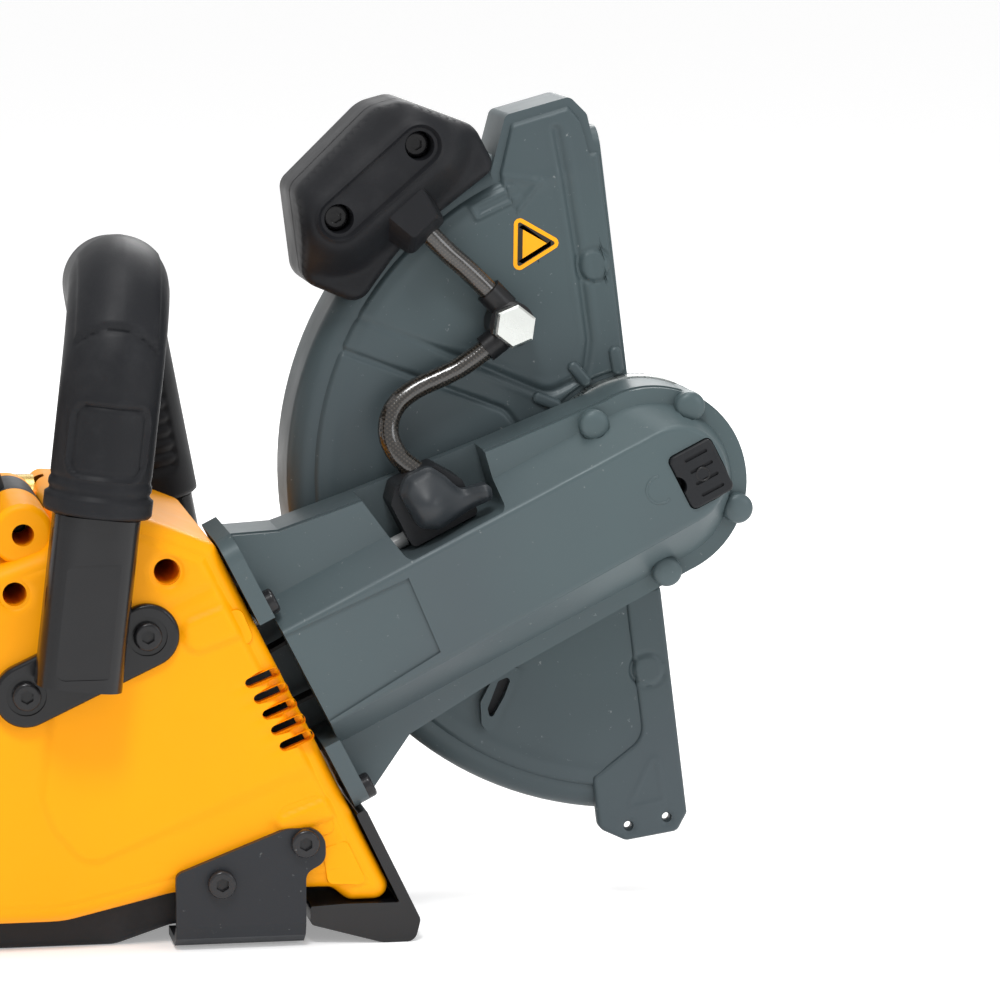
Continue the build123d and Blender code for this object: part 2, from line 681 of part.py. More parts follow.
def belt_loop(extra):
    """The closed loop round both pulleys, its inner line this far outside the pulley faces."""
    big, small = PULLEY_R + 0.35 + extra, DRIVER_R + 0.35 + extra
    lean = (big - small) / MOTOR_REACH
    c, s = (1 - lean ** 2) ** 0.5, lean
    with BuildSketch() as loop:
        with BuildLine():
            Polyline((big * s, big * c), (-MOTOR_REACH + small * s, small * c))
            ThreePointArc((-MOTOR_REACH + small * s, small * c), (-MOTOR_REACH - small, 0),
                          (-MOTOR_REACH + small * s, -small * c))
            Polyline((-MOTOR_REACH + small * s, -small * c), (big * s, -big * c))
            ThreePointArc((big * s, -big * c), (big, 0), (big * s, big * c))
        make_face()
    return loop.sketch


with BuildPart() as drive_belt:
    with BuildSketch(arm_at(BELT_FAR - 0.5)):
        add(belt_loop(1.2))
        add(belt_loop(0), mode=Mode.SUBTRACT)
    extrude(amount=BELT_FAR - BELT_NEAR - 1)
drive_belt.part.label = "drive_belt"
export_step(drive_belt.part, "parts/drive_belt.step")

with BuildPart() as driver_pulley:
    add(pulley_body(DRIVER_R, TEETH_DRIVER, -MOTOR_REACH))
    with BuildSketch(arm_at(BELT_FAR + 2)):
        with Locations((-MOTOR_REACH, 0)):
            Circle(4)
    extrude(amount=20, mode=Mode.SUBTRACT)
driver_pulley.part.label = "driver_pulley"
export_step(driver_pulley.part, "parts/driver_pulley.step")

with BuildPart() as rotor:
    with BuildSketch(arm_at(20)):
        with Locations((-MOTOR_REACH, 0)):
            Circle(ROTOR_R)
    extrude(amount=36)
    with BuildSketch(arm_at(REAR_BEARING_Y + 6)):
        with Locations((-MOTOR_REACH, 0)):
            Circle(4)
    extrude(amount=REAR_BEARING_Y + 6 - BELT_NEAR + 2)
rotor.part.label = "rotor"
export_step(rotor.part, "parts/rotor.step")

with BuildPart() as cooling_fan:
    with BuildSketch(arm_at(32)):
        with Locations((-MOTOR_REACH, 0)):
            Circle(9)
            Circle(4, mode=Mode.SUBTRACT)
    extrude(amount=8)
    with BuildSketch(arm_at(25.5)):
        with Locations((-MOTOR_REACH, 0)):
            Circle(32)
            Circle(9, mode=Mode.SUBTRACT)
    extrude(amount=1.5)
    for k in range(11):
        with BuildSketch(arm_at(32)):
            with Locations(Location((-MOTOR_REACH, 0, 0), (0, 0, 1), 360 / 11 * k)):
                with Locations(Location((20, 0, 0), (0, 0, 1), 25)):
                    Rectangle(21, 1.6)
        extrude(amount=7)
cooling_fan.part.label = "cooling_fan"
export_step(cooling_fan.part, "parts/cooling_fan.step")

with BuildPart() as motor_stator:
    with BuildSketch(arm_at(19)):
        with Locations((-MOTOR_REACH, 0)):
            Circle(STATOR_R)
            Circle(ROTOR_R + 0.6, mode=Mode.SUBTRACT)
            with PolarLocations(ROTOR_R + 6.2, 9):
                Circle(4, mode=Mode.SUBTRACT)
    extrude(amount=34)
motor_stator.part.label = "motor_stator"
export_step(motor_stator.part, "parts/motor_stator.step")

with BuildPart() as motor_windings:
    with BuildSketch(arm_at(22)):
        with Locations((-MOTOR_REACH, 0)):
            with PolarLocations(ROTOR_R + 6.2, 9):
                Circle(3.9)
    extrude(amount=39)
motor_windings.part.label = "motor_windings"
export_step(motor_windings.part, "parts/motor_windings.step")

with BuildPart() as motor_bearings:
    add(bearing(11, 4 + RUN_GAP, 7, facing((MOTOR.X, REAR_BEARING_Y, MOTOR.Z), LEFT)))
    add(bearing(11, 4 + RUN_GAP, 6, facing((MOTOR.X, ARM_BACK, MOTOR.Z), RIGHT)))
motor_bearings.part.label = "motor_bearings"
export_step(motor_bearings.part, "parts/motor_bearings.step")

# ---- wheel guard ---------------------------------------------------------------------------------
FRONT_EDGE = 2                # the guard's straight front edge, ahead of the wheel axis
RIM_ROUND = 8
TAB_HOLES = [(-17.5, -130), (-3, -129)]
BOLT_AT = (-40, 61)           # the water fitting's hollow bolt, in the guard's own x and z
GUARD_GRIP_LINE = [(-112, 120), (-80, 144.5), (-69, 146), (-44, 133), (-38, 117), (-60, 104), (-77, 92),
                   (-93, 75), (-112, 86)]
GUARD_GRIP_RADII = [6, 14, 8, 10, 5, 30, 30, 7, 8]
GUARD_GRIP_SCREWS = [(-67, 130), (-98.7, 108.3)]

with BuildPart() as guard_block:
    with BuildSketch(guard_at(GUARD_FAR)):
        Circle(GUARD_R)
        with Locations((FRONT_EDGE, 0)):
            Rectangle(300, 300, align=(Align.MAX, Align.CENTER), mode=Mode.INTERSECT)
    extrude(amount=GUARD_FAR - GUARD_NEAR)
    fillet(guard_block.faces().sort_by(Axis.Y)[0].edges().filter_by(GeomType.CIRCLE), RIM_ROUND)

with BuildPart() as guard_shell:
    add(guard_block.part)
    # the raised end of the rim at the top front
    with BuildSketch(guard_at(GUARD_FAR)):
        with BuildLine():
            FilletPolyline((-40, 112), (-31, 134.5), (-7, 138), (-1.5, 131), (FRONT_EDGE, 100), radius=3,
                           close=True)
        make_face()
    extrude(amount=GUARD_FAR - GUARD_NEAR)
    # hollow for the wheel, open at the front
    with BuildSketch(guard_at(GUARD_FAR - GUARD_WALL)):
        Circle(GUARD_R - GUARD_WALL)
        with Locations((FRONT_EDGE + 1, 0)):
            Rectangle(300, 300, align=(Align.MAX, Align.CENTER), mode=Mode.INTERSECT)
        with BuildLine():
            Polyline((-37, 108), (-29, 131.8), (-8, 134.8), (-4, 130), (FRONT_EDGE + 1, 100), close=True)
        make_face()
    extrude(amount=GUARD_FAR - GUARD_NEAR - 2 * GUARD_WALL, mode=Mode.SUBTRACT)
    with BuildSketch(guard_at(GUARD_FAR + 1)):
        Circle(GUARD_R - 13)
        with Locations((FRONT_EDGE + 1, 0)):
            Rectangle(300, 300, align=(Align.MAX, Align.CENTER), mode=Mode.INTERSECT)
    extrude(amount=GUARD_WALL + 2, mode=Mode.SUBTRACT)
    # flat tab with two holes below the rim
    with BuildSketch(guard_at(GUARD_NEAR + GUARD_WALL)):
        with BuildLine():
            FilletPolyline((-28, -112), (-28, -129), (-19, -134.7), (0, -134), (4, -128), (4, -44), (-9, -44),
                           (-9, -98), radius=[1, 4, 4, 3, 2, 4, 4, 8], close=True)
        make_face()
        with Locations(*TAB_HOLES):
            Circle(1.4, mode=Mode.SUBTRACT)
    extrude(amount=GUARD_WALL)
    # hub plate
    with BuildSketch(guard_at(GUARD_NEAR + GUARD_WALL)):
        Circle(35.5)
    extrude(amount=GUARD_WALL)
    with BuildSketch(guard_at(0)):
        Circle(BOSS_R + RUN_GAP)
    extrude(amount=20, mode=Mode.SUBTRACT)
guard_shell.part.label = "guard_shell"
export_step(guard_shell.part, "parts/guard_shell.step")

# water feed on the guard: a banjo fitting, its hollow bolt, and the short upper hose
UPPER_HOSE = [(-67, 99.5, -24), (-61, 91, -23.4), (-53, 82.5, -22.6), (-46.5, 74, -22)]
LOWER_HOSE = [(-50.3, 53, -22), (-58, 48.5, -22), (-67, 45.5, -22.2), (-77, 43, -22.8), (-86, 38, -23.8),
              (-90, 29, -25.6), (-87.5, 20, -28), (-81.5, 14, -30.6), (-76.5, 10.2, -32)]


def guard_point(u, v, y):
    return guard_at(y).from_local_coords(Vector(u, v, 0))


def hose(points, name):
    """One of the two water hoses on the guard, with its route."""
    body, path = tube(points, HOSE_R)
    print(name, "radii", [round(r, 1) for r in hose_radii(points)], "length", round(path.length, 1),
          "volume", round(body.volume), "expected", round(path.length * 3.14159 * HOSE_R ** 2))
    return body, path


upper_tube, upper_path = hose([guard_point(*p) for p in UPPER_HOSE], "upper_hose")
lower_tube, lower_path = hose([guard_point(*p) for p in LOWER_HOSE], "lower_hose")

with BuildPart() as upper_hose:
    add(upper_tube)
upper_hose.part.label = "upper_hose"
export_step(upper_hose.part, "parts/upper_hose.step")

with BuildPart() as lower_hose:
    add(lower_tube)
lower_hose.part.label = "lower_hose"
export_step(lower_hose.part, "parts/lower_hose.step")

with BuildPart() as guard_grip:
    with BuildSketch(guard_at(15)):
        with BuildLine():
            FilletPolyline(*GUARD_GRIP_LINE, radius=GUARD_GRIP_RADII, close=True)
        make_face()
    extrude(amount=49)
    fillet(guard_grip.faces().sort_by(Axis.Y)[0].edges(), 4)
    # raised stadium panel that takes the two screws
    with BuildSketch(guard_at(-33)):
        with Locations(Location((-82.8, 119.2, 0), (0, 0, 1), 34.6)):
            SlotOverall(56, 22)
    extrude(amount=7, taper=12)
    # hose boot
    with BuildSketch(guard_at(-16)):
        with BuildLine():
            FilletPolyline((-86, 103), (-68, 116), (-61, 98), (-72, 91), radius=4, close=True)
        make_face()
    extrude(amount=16)
    add(guard_block.part, mode=Mode.SUBTRACT)
    add(upper_tube, mode=Mode.SUBTRACT)
    for x, z in GUARD_GRIP_SCREWS:
        with BuildSketch(guard_at(-26)):
            with Locations((x, z)):
                Circle(5)
        extrude(amount=20, mode=Mode.SUBTRACT)
        with BuildSketch(guard_at(-14)):
            with Locations((x, z)):
                Circle(2.5)
        extrude(amount=20, mode=Mode.SUBTRACT)
guard_grip.part.label = "guard_grip"
export_step(guard_grip.part, "parts/guard_grip.step")

grip_screw = torx_screw(12, 2.5, 4.6, 3.2)
with BuildPart() as guard_grip_screws:
    with Locations(*[facing(guard_at(-26).from_local_coords(Vector(x, z, 0)), RIGHT)
                     for x, z in GUARD_GRIP_SCREWS]):
        add(grip_screw)
guard_grip_screws.part.label = "guard_grip_screws"
export_step(guard_grip_screws.part, "parts/guard_grip_screws.step")

with BuildPart() as banjo_fitting:
    with BuildSketch(guard_at(GUARD_NEAR)):
        with Locations(BOLT_AT):
            Circle(8.2)
    extrude(amount=15)
    chamfer(banjo_fitting.edges().group_by(Axis.Y)[0], 1)
    with Locations(Plane(origin=upper_path @ 1, z_dir=upper_path % 1)):
        Cylinder(5, 9, align=CYL_UP)
    with Locations(Plane(origin=lower_path @ 0, z_dir=-(lower_path % 0))):
        Cylinder(5, 7, align=CYL_UP)
    with BuildSketch(guard_at(GUARD_NEAR)):
        with Locations(BOLT_AT):
            Circle(3)
    extrude(amount=16, mode=Mode.SUBTRACT)
banjo_fitting.part.label = "banjo_fitting"
export_step(banjo_fitting.part, "parts/banjo_fitting.step")

with BuildPart() as banjo_bolt:
    with BuildSketch(guard_at(GUARD_NEAR - 15)):
        with Locations(BOLT_AT):
            RegularPolygon(6.8, 6, major_radius=False, rotation=15)
    extrude(amount=6)
    chamfer(banjo_bolt.edges().group_by(Axis.Y)[0], 0.7)
    with BuildSketch(guard_at(GUARD_NEAR)):
        with Locations(BOLT_AT):
            Circle(3)
            Circle(1.5, mode=Mode.SUBTRACT)
    extrude(amount=15)
banjo_bolt.part.label = "banjo_bolt"
export_step(banjo_bolt.part, "parts/banjo_bolt.step")

# ---- water valve in the arm's recess -------------------------------------------------------------
VALVE_AT = (-73.5, 36.5)
LEVER_Y = -47

with BuildPart() as valve_body:
    with BuildSketch(arm_at(-26.3)):
        with BuildLine():
            FilletPolyline((-86.5, 20.3), (-60, 20.3), (-60, 34), (-66, 43), (-82, 43), (-86.5, 38), radius=2,
                           close=True)
        make_face()
    extrude(amount=-26.3 - LEVER_Y - 0.7)
    # socket round the hose's end
    with Locations(Plane(origin=lower_path @ 1, z_dir=lower_path % 1)):
        Cylinder(5.3, 5, align=CYL_UP)
        Cylinder(5.3, 4, align=CYL_DOWN)
    add(lower_tube, mode=Mode.SUBTRACT)
    with BuildSketch(arm_at(-40)):
        with Locations(VALVE_AT):
            Circle(4 + RUN_GAP)
    extrude(amount=10, mode=Mode.SUBTRACT)
valve_body.part.label = "valve_body"
export_step(valve_body.part, "parts/valve_body.step")

with BuildPart() as valve_lever:
    with BuildSketch(arm_at(LEVER_Y)):
        with Locations(VALVE_AT):
            Circle(9.2)
        with BuildLine():
            FilletPolyline((-82, 38), (-80.5, 27), (-76, 23.5), (-54, 24.5), (-52.6, 29.5), (-63, 31),
                           (-68, 39), radius=[0.5, 2, 2, 2, 2, 3, 2], close=True)
        make_face()
    extrude(amount=13)
    fillet(valve_lever.faces().sort_by(Axis.Y)[0].edges(), 1.6)
    with BuildSketch(arm_at(-40.5)):
        with Locations(VALVE_AT):
            Circle(4)
    extrude(amount=8)
valve_lever.part.label = "valve_lever"
export_step(valve_lever.part, "parts/valve_lever.step")

INLET_AXIS = facing((-14, INLET[0], INLET[1]), (-1, 0, 0))
with BuildPart() as water_inlet:
    with Locations(INLET_AXIS):
        Cylinder(9.2, 16, align=CYL_UP)
    with Locations(INLET_AXIS.offset(16)):
        Cylinder(7, 22, align=CYL_UP)
    fillet(water_inlet.edges().group_by(Axis.X)[0], 1.2)
    with Locations(INLET_AXIS.offset(22), INLET_AXIS.offset(30)):
        with BuildSketch():
            Circle(8)
            Circle(5.8, mode=Mode.SUBTRACT)
    extrude(amount=3, mode=Mode.SUBTRACT)
    with Locations(INLET_AXIS.offset(10)):
        Cylinder(4, 40, align=CYL_UP, mode=Mode.SUBTRACT)
water_inlet.part.label = "water_inlet"
export_step(water_inlet.part, "parts/water_inlet.step")

# ---- front handle ---------------------------------------------------------------------------------
LEG_Y, FAR_LEG_Y = -75.5, 75.5
HANDLE_PATH = [(-8.5, LEG_Y, 98), (8, LEG_Y, 236), (18, FAR_LEG_Y, 224), (39, FAR_LEG_Y, 112)]
HANDLE_BEND = 32
LEG_LENGTH, LEG_SIZE = 60, (30, 24)
FAR_LEG_LENGTH = 30
FOOT_R = 11.3


def leg_plane(y, low, high):
    """A plane at a leg's foot that looks up along the leg."""
    start, end = Vector(low[0], y, low[2]), Vector(high[0], y, high[2])
    return Plane(origin=start, x_dir=(end.Z - start.Z, 0, start.X - end.X), z_dir=end - start)


NEAR_LEG = leg_plane(LEG_Y, HANDLE_PATH[0], HANDLE_PATH[1])
FAR_LEG = leg_plane(FAR_LEG_Y, HANDLE_PATH[3], HANDLE_PATH[2])


def handle_sweep(radius):
    """The handle's bent bar at one radius."""
    with BuildPart() as bar:
        with BuildLine() as path:
            FilletPolyline(*HANDLE_PATH, radius=HANDLE_BEND)
        with BuildSketch(Plane(origin=path.wires()[0] @ 0, z_dir=path.wires()[0] % 0)):
            Circle(radius)
        sweep()
    return bar.part


handle_tube = handle_sweep(TUBE_R)


def foot_plate(side, screws):
    """The stadium plate that a leg ends in; side 1 is the right of the saw."""
    (x0, z0), (x1, z1) = screws
    length = ((x1 - x0) ** 2 + (z1 - z0) ** 2) ** 0.5
    middle = Location(((x0 + x1) / 2, (z0 + z1) / 2, 0), (0, 0, 1), Vector(1, 0, 0).get_signed_angle(
        Vector(x1 - x0, z1 - z0, 0), Vector(0, 0, 1)))
    with BuildPart() as plate:
        with BuildSketch(side_at(-side * BODY_HALF)):
            with Locations(middle):
                SlotCenterToCenter(length, 2 * FOOT_R)
        extrude(amount=side * 5)
        fillet(plate.faces().sort_by(Axis.Y)[0 if side > 0 else -1].edges(), 1.5)
    return plate.part


with BuildPart() as front_handle:
    add(handle_tube)
    for plane, length in ((NEAR_LEG, LEG_LENGTH), (FAR_LEG, FAR_LEG_LENGTH)):
        with BuildSketch(plane):
            RectangleRounded(*LEG_SIZE, 9)
        extrude(amount=length)
    add(foot_plate(1, HANDLE_SCREWS))
    add(foot_plate(-1, FAR_HANDLE_SCREWS))
    # shallow panel in the right leg
    with BuildSketch(side_at(LEG_Y - 11.4)):
        with BuildLine():
            FilletPolyline((-18, 102), (-13, 142), (9, 142), (3, 102), radius=4, close=True)
        make_face()
    extrude(amount=5, mode=Mode.SUBTRACT)
    for side, screws in ((1, HANDLE_SCREWS), (-1, FAR_HANDLE_SCREWS)):
        for x, z in screws:
            with BuildSketch(side_at(-side * BODY_HALF)):
                with Locations((x, z)):
                    Circle(2.6)
            extrude(amount=side * 6, mode=Mode.SUBTRACT)
            with BuildSketch(side_at(-side * (BODY_HALF + 4))):
                with Locations((x, z)):
                    Circle(7)
            extrude(amount=side * 30, mode=Mode.SUBTRACT)
    with BuildSketch(side_at(BODY_HALF)):
        with BuildLine():
            Polyline((-60, 70), (-60, 157), (90, 157), (90, 70), close=True)
        make_face()
    extrude(amount=2 * BODY_HALF, mode=Mode.SUBTRACT)
front_handle.part.label = "front_handle"
export_step(front_handle.part, "parts/front_handle.step")

handle_grip_sweep = handle_sweep(GRIP_R)
with BuildPart() as front_handle_grip:
    add(handle_grip_sweep)
    for plane, length in ((NEAR_LEG, LEG_LENGTH), (FAR_LEG, FAR_LEG_LENGTH)):
        with BuildSketch(plane.offset(-20)):
            Rectangle(60, 60)
        extrude(amount=length + 20.3, mode=Mode.SUBTRACT)
    # collar at the lower end of the right leg's grip
    with BuildSketch(NEAR_LEG.offset(LEG_LENGTH + 0.3)):
        Circle(GRIP_R + 1.2)
    extrude(amount=9)
    fillet(front_handle_grip.edges().filter_by(GeomType.CIRCLE).filter_by(
        lambda e: abs(e.radius - GRIP_R - 1.2) < 0.01), 1)
    add(handle_tube, mode=Mode.SUBTRACT)
    # flat where the left leg's grip passes the body
    with BuildSketch(side_at(BODY_HALF + 0.3)):
        with Locations((0, 100)):
            Rectangle(160, 116)
    extrude(amount=2 * BODY_HALF + 0.6, mode=Mode.SUBTRACT)
front_handle_grip.part.label = "front_handle_grip"
export_step(front_handle_grip.part, "parts/front_handle_grip.step")

side_screw = torx_screw(14, 2.5, 5, 3.4)
with BuildPart() as handle_screws:
    with Locations(*[facing((x, -BODY_HALF - 4, z), RIGHT) for x, z in HANDLE_SCREWS]):
        add(side_screw)
    with Locations(*[facing((x, BODY_HALF + 4, z), LEFT) for x, z in FAR_HANDLE_SCREWS]):
        add(side_screw)
handle_screws.part.label = "handle_screws"
export_step(handle_screws.part, "parts/handle_screws.step")

with BuildPart() as bracket_screws:
    with Locations(*[facing((x, -BODY_HALF - 4, z), RIGHT) for x, z in BRACKET_SCREWS]):
        add(side_screw)
    with Locations(*[facing((x, BODY_HALF + 4, z), LEFT) for x, z in BRACKET_SCREWS]):
        add(side_screw)
bracket_screws.part.label = "bracket_screws"
export_step(bracket_screws.part, "parts/bracket_screws.step")

deep_screw = torx_screw(18, 2, 3.4, 2.8)
ear_screw = torx_screw(50, 2, 3.4, 2.8)
with BuildPart() as housing_screws:
    with Locations(*[facing((x, -10, z), RIGHT) for x, z, r in DEEP_HOLES]):
        add(deep_screw)
    with Locations(facing((LOBE[0], -LOBE_GAP - 8.6, LOBE[1]), RIGHT)):
        add(ear_screw)
housing_screws.part.label = "housing_screws"
export_step(housing_screws.part, "parts/housing_screws.step")

# ---- rear handle ----------------------------------------------------------------------------------
REAR_LINE = [(-19, 128), (-30, 166), (-46, 196), (-76, 213), (-190, 214), (-262, 198), (-290, 166),
             (-296, 84), (-262, 84), (-256, 140), (-240, 160), (-190, 171), (-84, 171), (-72, 156),
             (-66, 100), (-19, 100)]
REAR_RADII = [20, 20, 18, 20, 60, 26, 26, 8, 8, 16, 16, 20, 10, 10, 8, 8]
TRIGGER_PIVOT, LOCK_OFF_PIVOT = (-86, 182), (-172, 206)
TRIGGER_SLOT = (-121, -80, 7.5)
LOCK_OFF_SLOT = (-176, -106, 6.6)

with BuildPart() as rear_block:
    with BuildSketch(side_at(REAR_HALF)):
        with BuildLine():
            FilletPolyline(*REAR_LINE, radius=REAR_RADII, close=True)
        make_face()
    extrude(amount=2 * REAR_HALF)
    fillet(rear_block.faces().sort_by(Axis.Y)[0].edges(), 7)
    fillet(rear_block.faces().sort_by(Axis.Y)[-1].edges(), 7)

# what the body leaves free for the rear handle
with BuildPart() as body_tool:
    add(body_block.part)
    with BuildSketch(side_at(LOBE_GAP)):
        with Locations(LOBE):
            Circle(LOBE_R + 0.5)
    extrude(amount=2 * LOBE_GAP, mode=Mode.SUBTRACT)

with BuildPart() as rear_core:
    with BuildSketch(side_at(REAR_HALF - WALL)):
        with BuildLine():
            FilletPolyline(*REAR_LINE, radius=REAR_RADII, close=True)
        make_face()
        offset(amount=-WALL)
    extrude(amount=2 * (REAR_HALF - WALL))


def rear_half(side):
    """One half of the rear handle's shell: side 1 is the right half, -1 the left."""
    with BuildPart() as half:
        add(rear_block.part)
        add(rear_core.part, mode=Mode.SUBTRACT)
        # ear round the front bush
        with BuildSketch(side_at(REAR_HALF)):
            with Locations(LOBE):
                Circle(LOBE_R)
        extrude(amount=2 * REAR_HALF)
        add(body_tool.part, mode=Mode.SUBTRACT)
        with BuildSketch(side_at(REAR_HALF)):
            with Locations(LOBE):
                Circle(8)
        extrude(amount=2 * REAR_HALF, mode=Mode.SUBTRACT)
        with BuildSketch(Plane.XY.offset(BAY_TOP)):
            with Locations((BAY_X[1], 0)):
                Rectangle(120, 60)
        extrude(amount=-60, mode=Mode.SUBTRACT)
        # openings for the trigger below the bar and the lock-off lever above it
        with BuildSketch(Plane.XY.offset(160)):
            with Locations(((TRIGGER_SLOT[0] + TRIGGER_SLOT[1]) / 2, 0)):
                Rectangle(TRIGGER_SLOT[1] - TRIGGER_SLOT[0], 2 * TRIGGER_SLOT[2])
        extrude(amount=18, mode=Mode.SUBTRACT)
        with BuildSketch(Plane.XY.offset(200)):
            with Locations(((LOCK_OFF_SLOT[0] + LOCK_OFF_SLOT[1]) / 2, 0)):
                Rectangle(LOCK_OFF_SLOT[1] - LOCK_OFF_SLOT[0], 2 * LOCK_OFF_SLOT[2])
        extrude(amount=20, mode=Mode.SUBTRACT)
        # bosses for the two hinge pins
        for x, z in (TRIGGER_PIVOT, LOCK_OFF_PIVOT):
            for y in (REAR_HALF - WALL + 0.5, -9):
                with BuildSketch(side_at(y)):
                    with Locations((x, z)):
                        Circle(4.5)
                        Circle(2, mode=Mode.SUBTRACT)
                extrude(amount=REAR_HALF - WALL + 0.5 - 9)
        split(bisect_by=Plane.XZ, keep=Keep.TOP if side > 0 else Keep.BOTTOM)
    return half.part


with BuildPart() as rear_handle_right:
    add(rear_half(1))
rear_handle_right.part.label = "rear_handle_right"
export_step(rear_handle_right.part, "parts/rear_handle_right.step")

with BuildPart() as rear_handle_left:
    add(rear_half(-1))
rear_handle_left.part.label = "rear_handle_left"
export_step(rear_handle_left.part, "parts/rear_handle_left.step")

# soft overmould on the rear part of the bar
with BuildPart() as rear_handle_grip:
    with BuildSketch(side_at(REAR_HALF + 1.6)):
        with BuildLine():
            FilletPolyline(*REAR_LINE, radius=REAR_RADII, close=True)
        make_face()
        offset(amount=1.6)
        with Locations((-211, 190)):
            Rectangle(58, 80, mode=Mode.INTERSECT)
    extrude(amount=2 * (REAR_HALF + 1.6))
    fillet(rear_handle_grip.edges().filter_by(lambda e: abs(abs(e.center().Y) - REAR_HALF - 1.6) < 0.01
                                              and abs(e.tangent_at(0.5).Z) < 0.6), 8)
    add(rear_block.part, mode=Mode.SUBTRACT)
rear_handle_grip.part.label = "rear_handle_grip"
export_step(rear_handle_grip.part, "parts/rear_handle_grip.step")

with BuildPart() as handle_pins:
    for x, z in (TRIGGER_PIVOT, LOCK_OFF_PIVOT):
        with BuildSketch(side_at(12)):
            with Locations((x, z)):
                Circle(2)
        extrude(amount=24)
handle_pins.part.label = "handle_pins"
export_step(handle_pins.part, "parts/handle_pins.step")

with BuildPart() as trigger:
    with BuildSketch(side_at(7)):
        with BuildLine():
            FilletPolyline((-80.5, 187), (-81, 168), (-92, 161), (-104, 164.5), (-113, 158.5), (-118, 163),
                           (-117.5, 180), (-98, 187), radius=[3, 5, 8, 10, 2.5, 2.5, 3, 5], close=True)
        make_face()
        with Locations(TRIGGER_PIVOT):
            Circle(2 + RUN_GAP, mode=Mode.SUBTRACT)
    extrude(amount=14)
    fillet(trigger.edges().group_by(Axis.Z)[0], 1)
trigger.part.label = "trigger"
export_step(trigger.part, "parts/trigger.step")

with BuildPart() as lock_off_lever:
    with BuildSketch(side_at(6)):
        with BuildLine():
            FilletPolyline((-175.5, 203), (-175.5, 211), (-166, 217), (-120, 222), (-108, 219), (-108, 212),
                           (-160, 204), radius=[2, 2, 8, 8, 4, 2, 8], close=True)
        make_face()
        with Locations(LOCK_OFF_PIVOT):
            Circle(2 + RUN_GAP, mode=Mode.SUBTRACT)
    extrude(amount=12)
lock_off_lever.part.label = "lock_off_lever"
export_step(lock_off_lever.part, "parts/lock_off_lever.step")

with BuildPart() as switch_module:
    with BuildSketch(Plane.XY.offset(190)):
        with Locations((-124, 0)):
            RectangleRounded(34, 18, 2)
    extrude(amount=10)
    with BuildSketch(Plane.XY.offset(200)):
        with Locations((-130, 0)):
            Rectangle(4, 6)
    extrude(amount=1.5)
switch_module.part.label = "switch_module"
export_step(switch_module.part, "parts/switch_module.step")

with BuildPart() as damper_bush:
    with BuildSketch(side_at(REAR_HALF + 0.2)):
        with Locations(LOBE):
            Circle(8)
            Circle(2.05, mode=Mode.SUBTRACT)
    extrude(amount=2 * REAR_HALF + 0.4)
damper_bush.part.label = "damper_bush"
export_step(damper_bush.part, "parts/damper_bush.step")

# ---- battery bay and pack -------------------------------------------------------------------------
with BuildPart() as battery_bay:
    # roof and front wall
    with BuildSketch(Plane.XY.offset(BAY_ROOF)):
        with Locations((BAY_X[0], 0)):
            RectangleRounded(BAY_X[0] - BAY_X[1], 90, 6, align=(Align.MAX, Align.CENTER))
    extrude(amount=BAY_TOP - BAY_ROOF)
    with BuildSketch(Plane.XY.offset(14)):
        with Locations((BAY_X[0], 0)):
            Rectangle(6, 90, align=(Align.MAX, Align.CENTER))
    extrude(amount=BAY_TOP - 14)
    # side skirts with the rail lips that hold the pack
    for side in (1, -1):
        with BuildSketch(Plane.XY.offset(BAY_ROOF)):
            with Locations((BAY_X[0], side * 43)):
                Rectangle(BAY_X[0] - BAY_X[1], 4, align=(Align.MAX, Align.CENTER))
        extrude(amount=-17)
        with BuildSketch(Plane.XY.offset(BAY_ROOF - 13)):
            with Locations((BAY_X[0], side * 38.5)):
                Rectangle(BAY_X[0] - BAY_X[1] - 4, 7, align=(Align.MAX, Align.CENTER))
        extrude(amount=-4)
    fillet(battery_bay.edges().filter_by(Axis.X).group_by(Axis.Z)[-1], 5)
    with BuildSketch(Plane.YZ.offset(BAY_X[0] - 7)):
        with Locations((0, 56)):
            RectangleRounded(44, 28, 3)
    extrude(amount=8, mode=Mode.SUBTRACT)
battery_bay.part.label = "battery_bay"
export_step(battery_bay.part, "parts/battery_bay.step")

PACK_X = (-196.6, -336)
PACK_FLOOR, PACK_TOP = 12, BAY_ROOF - 0.5

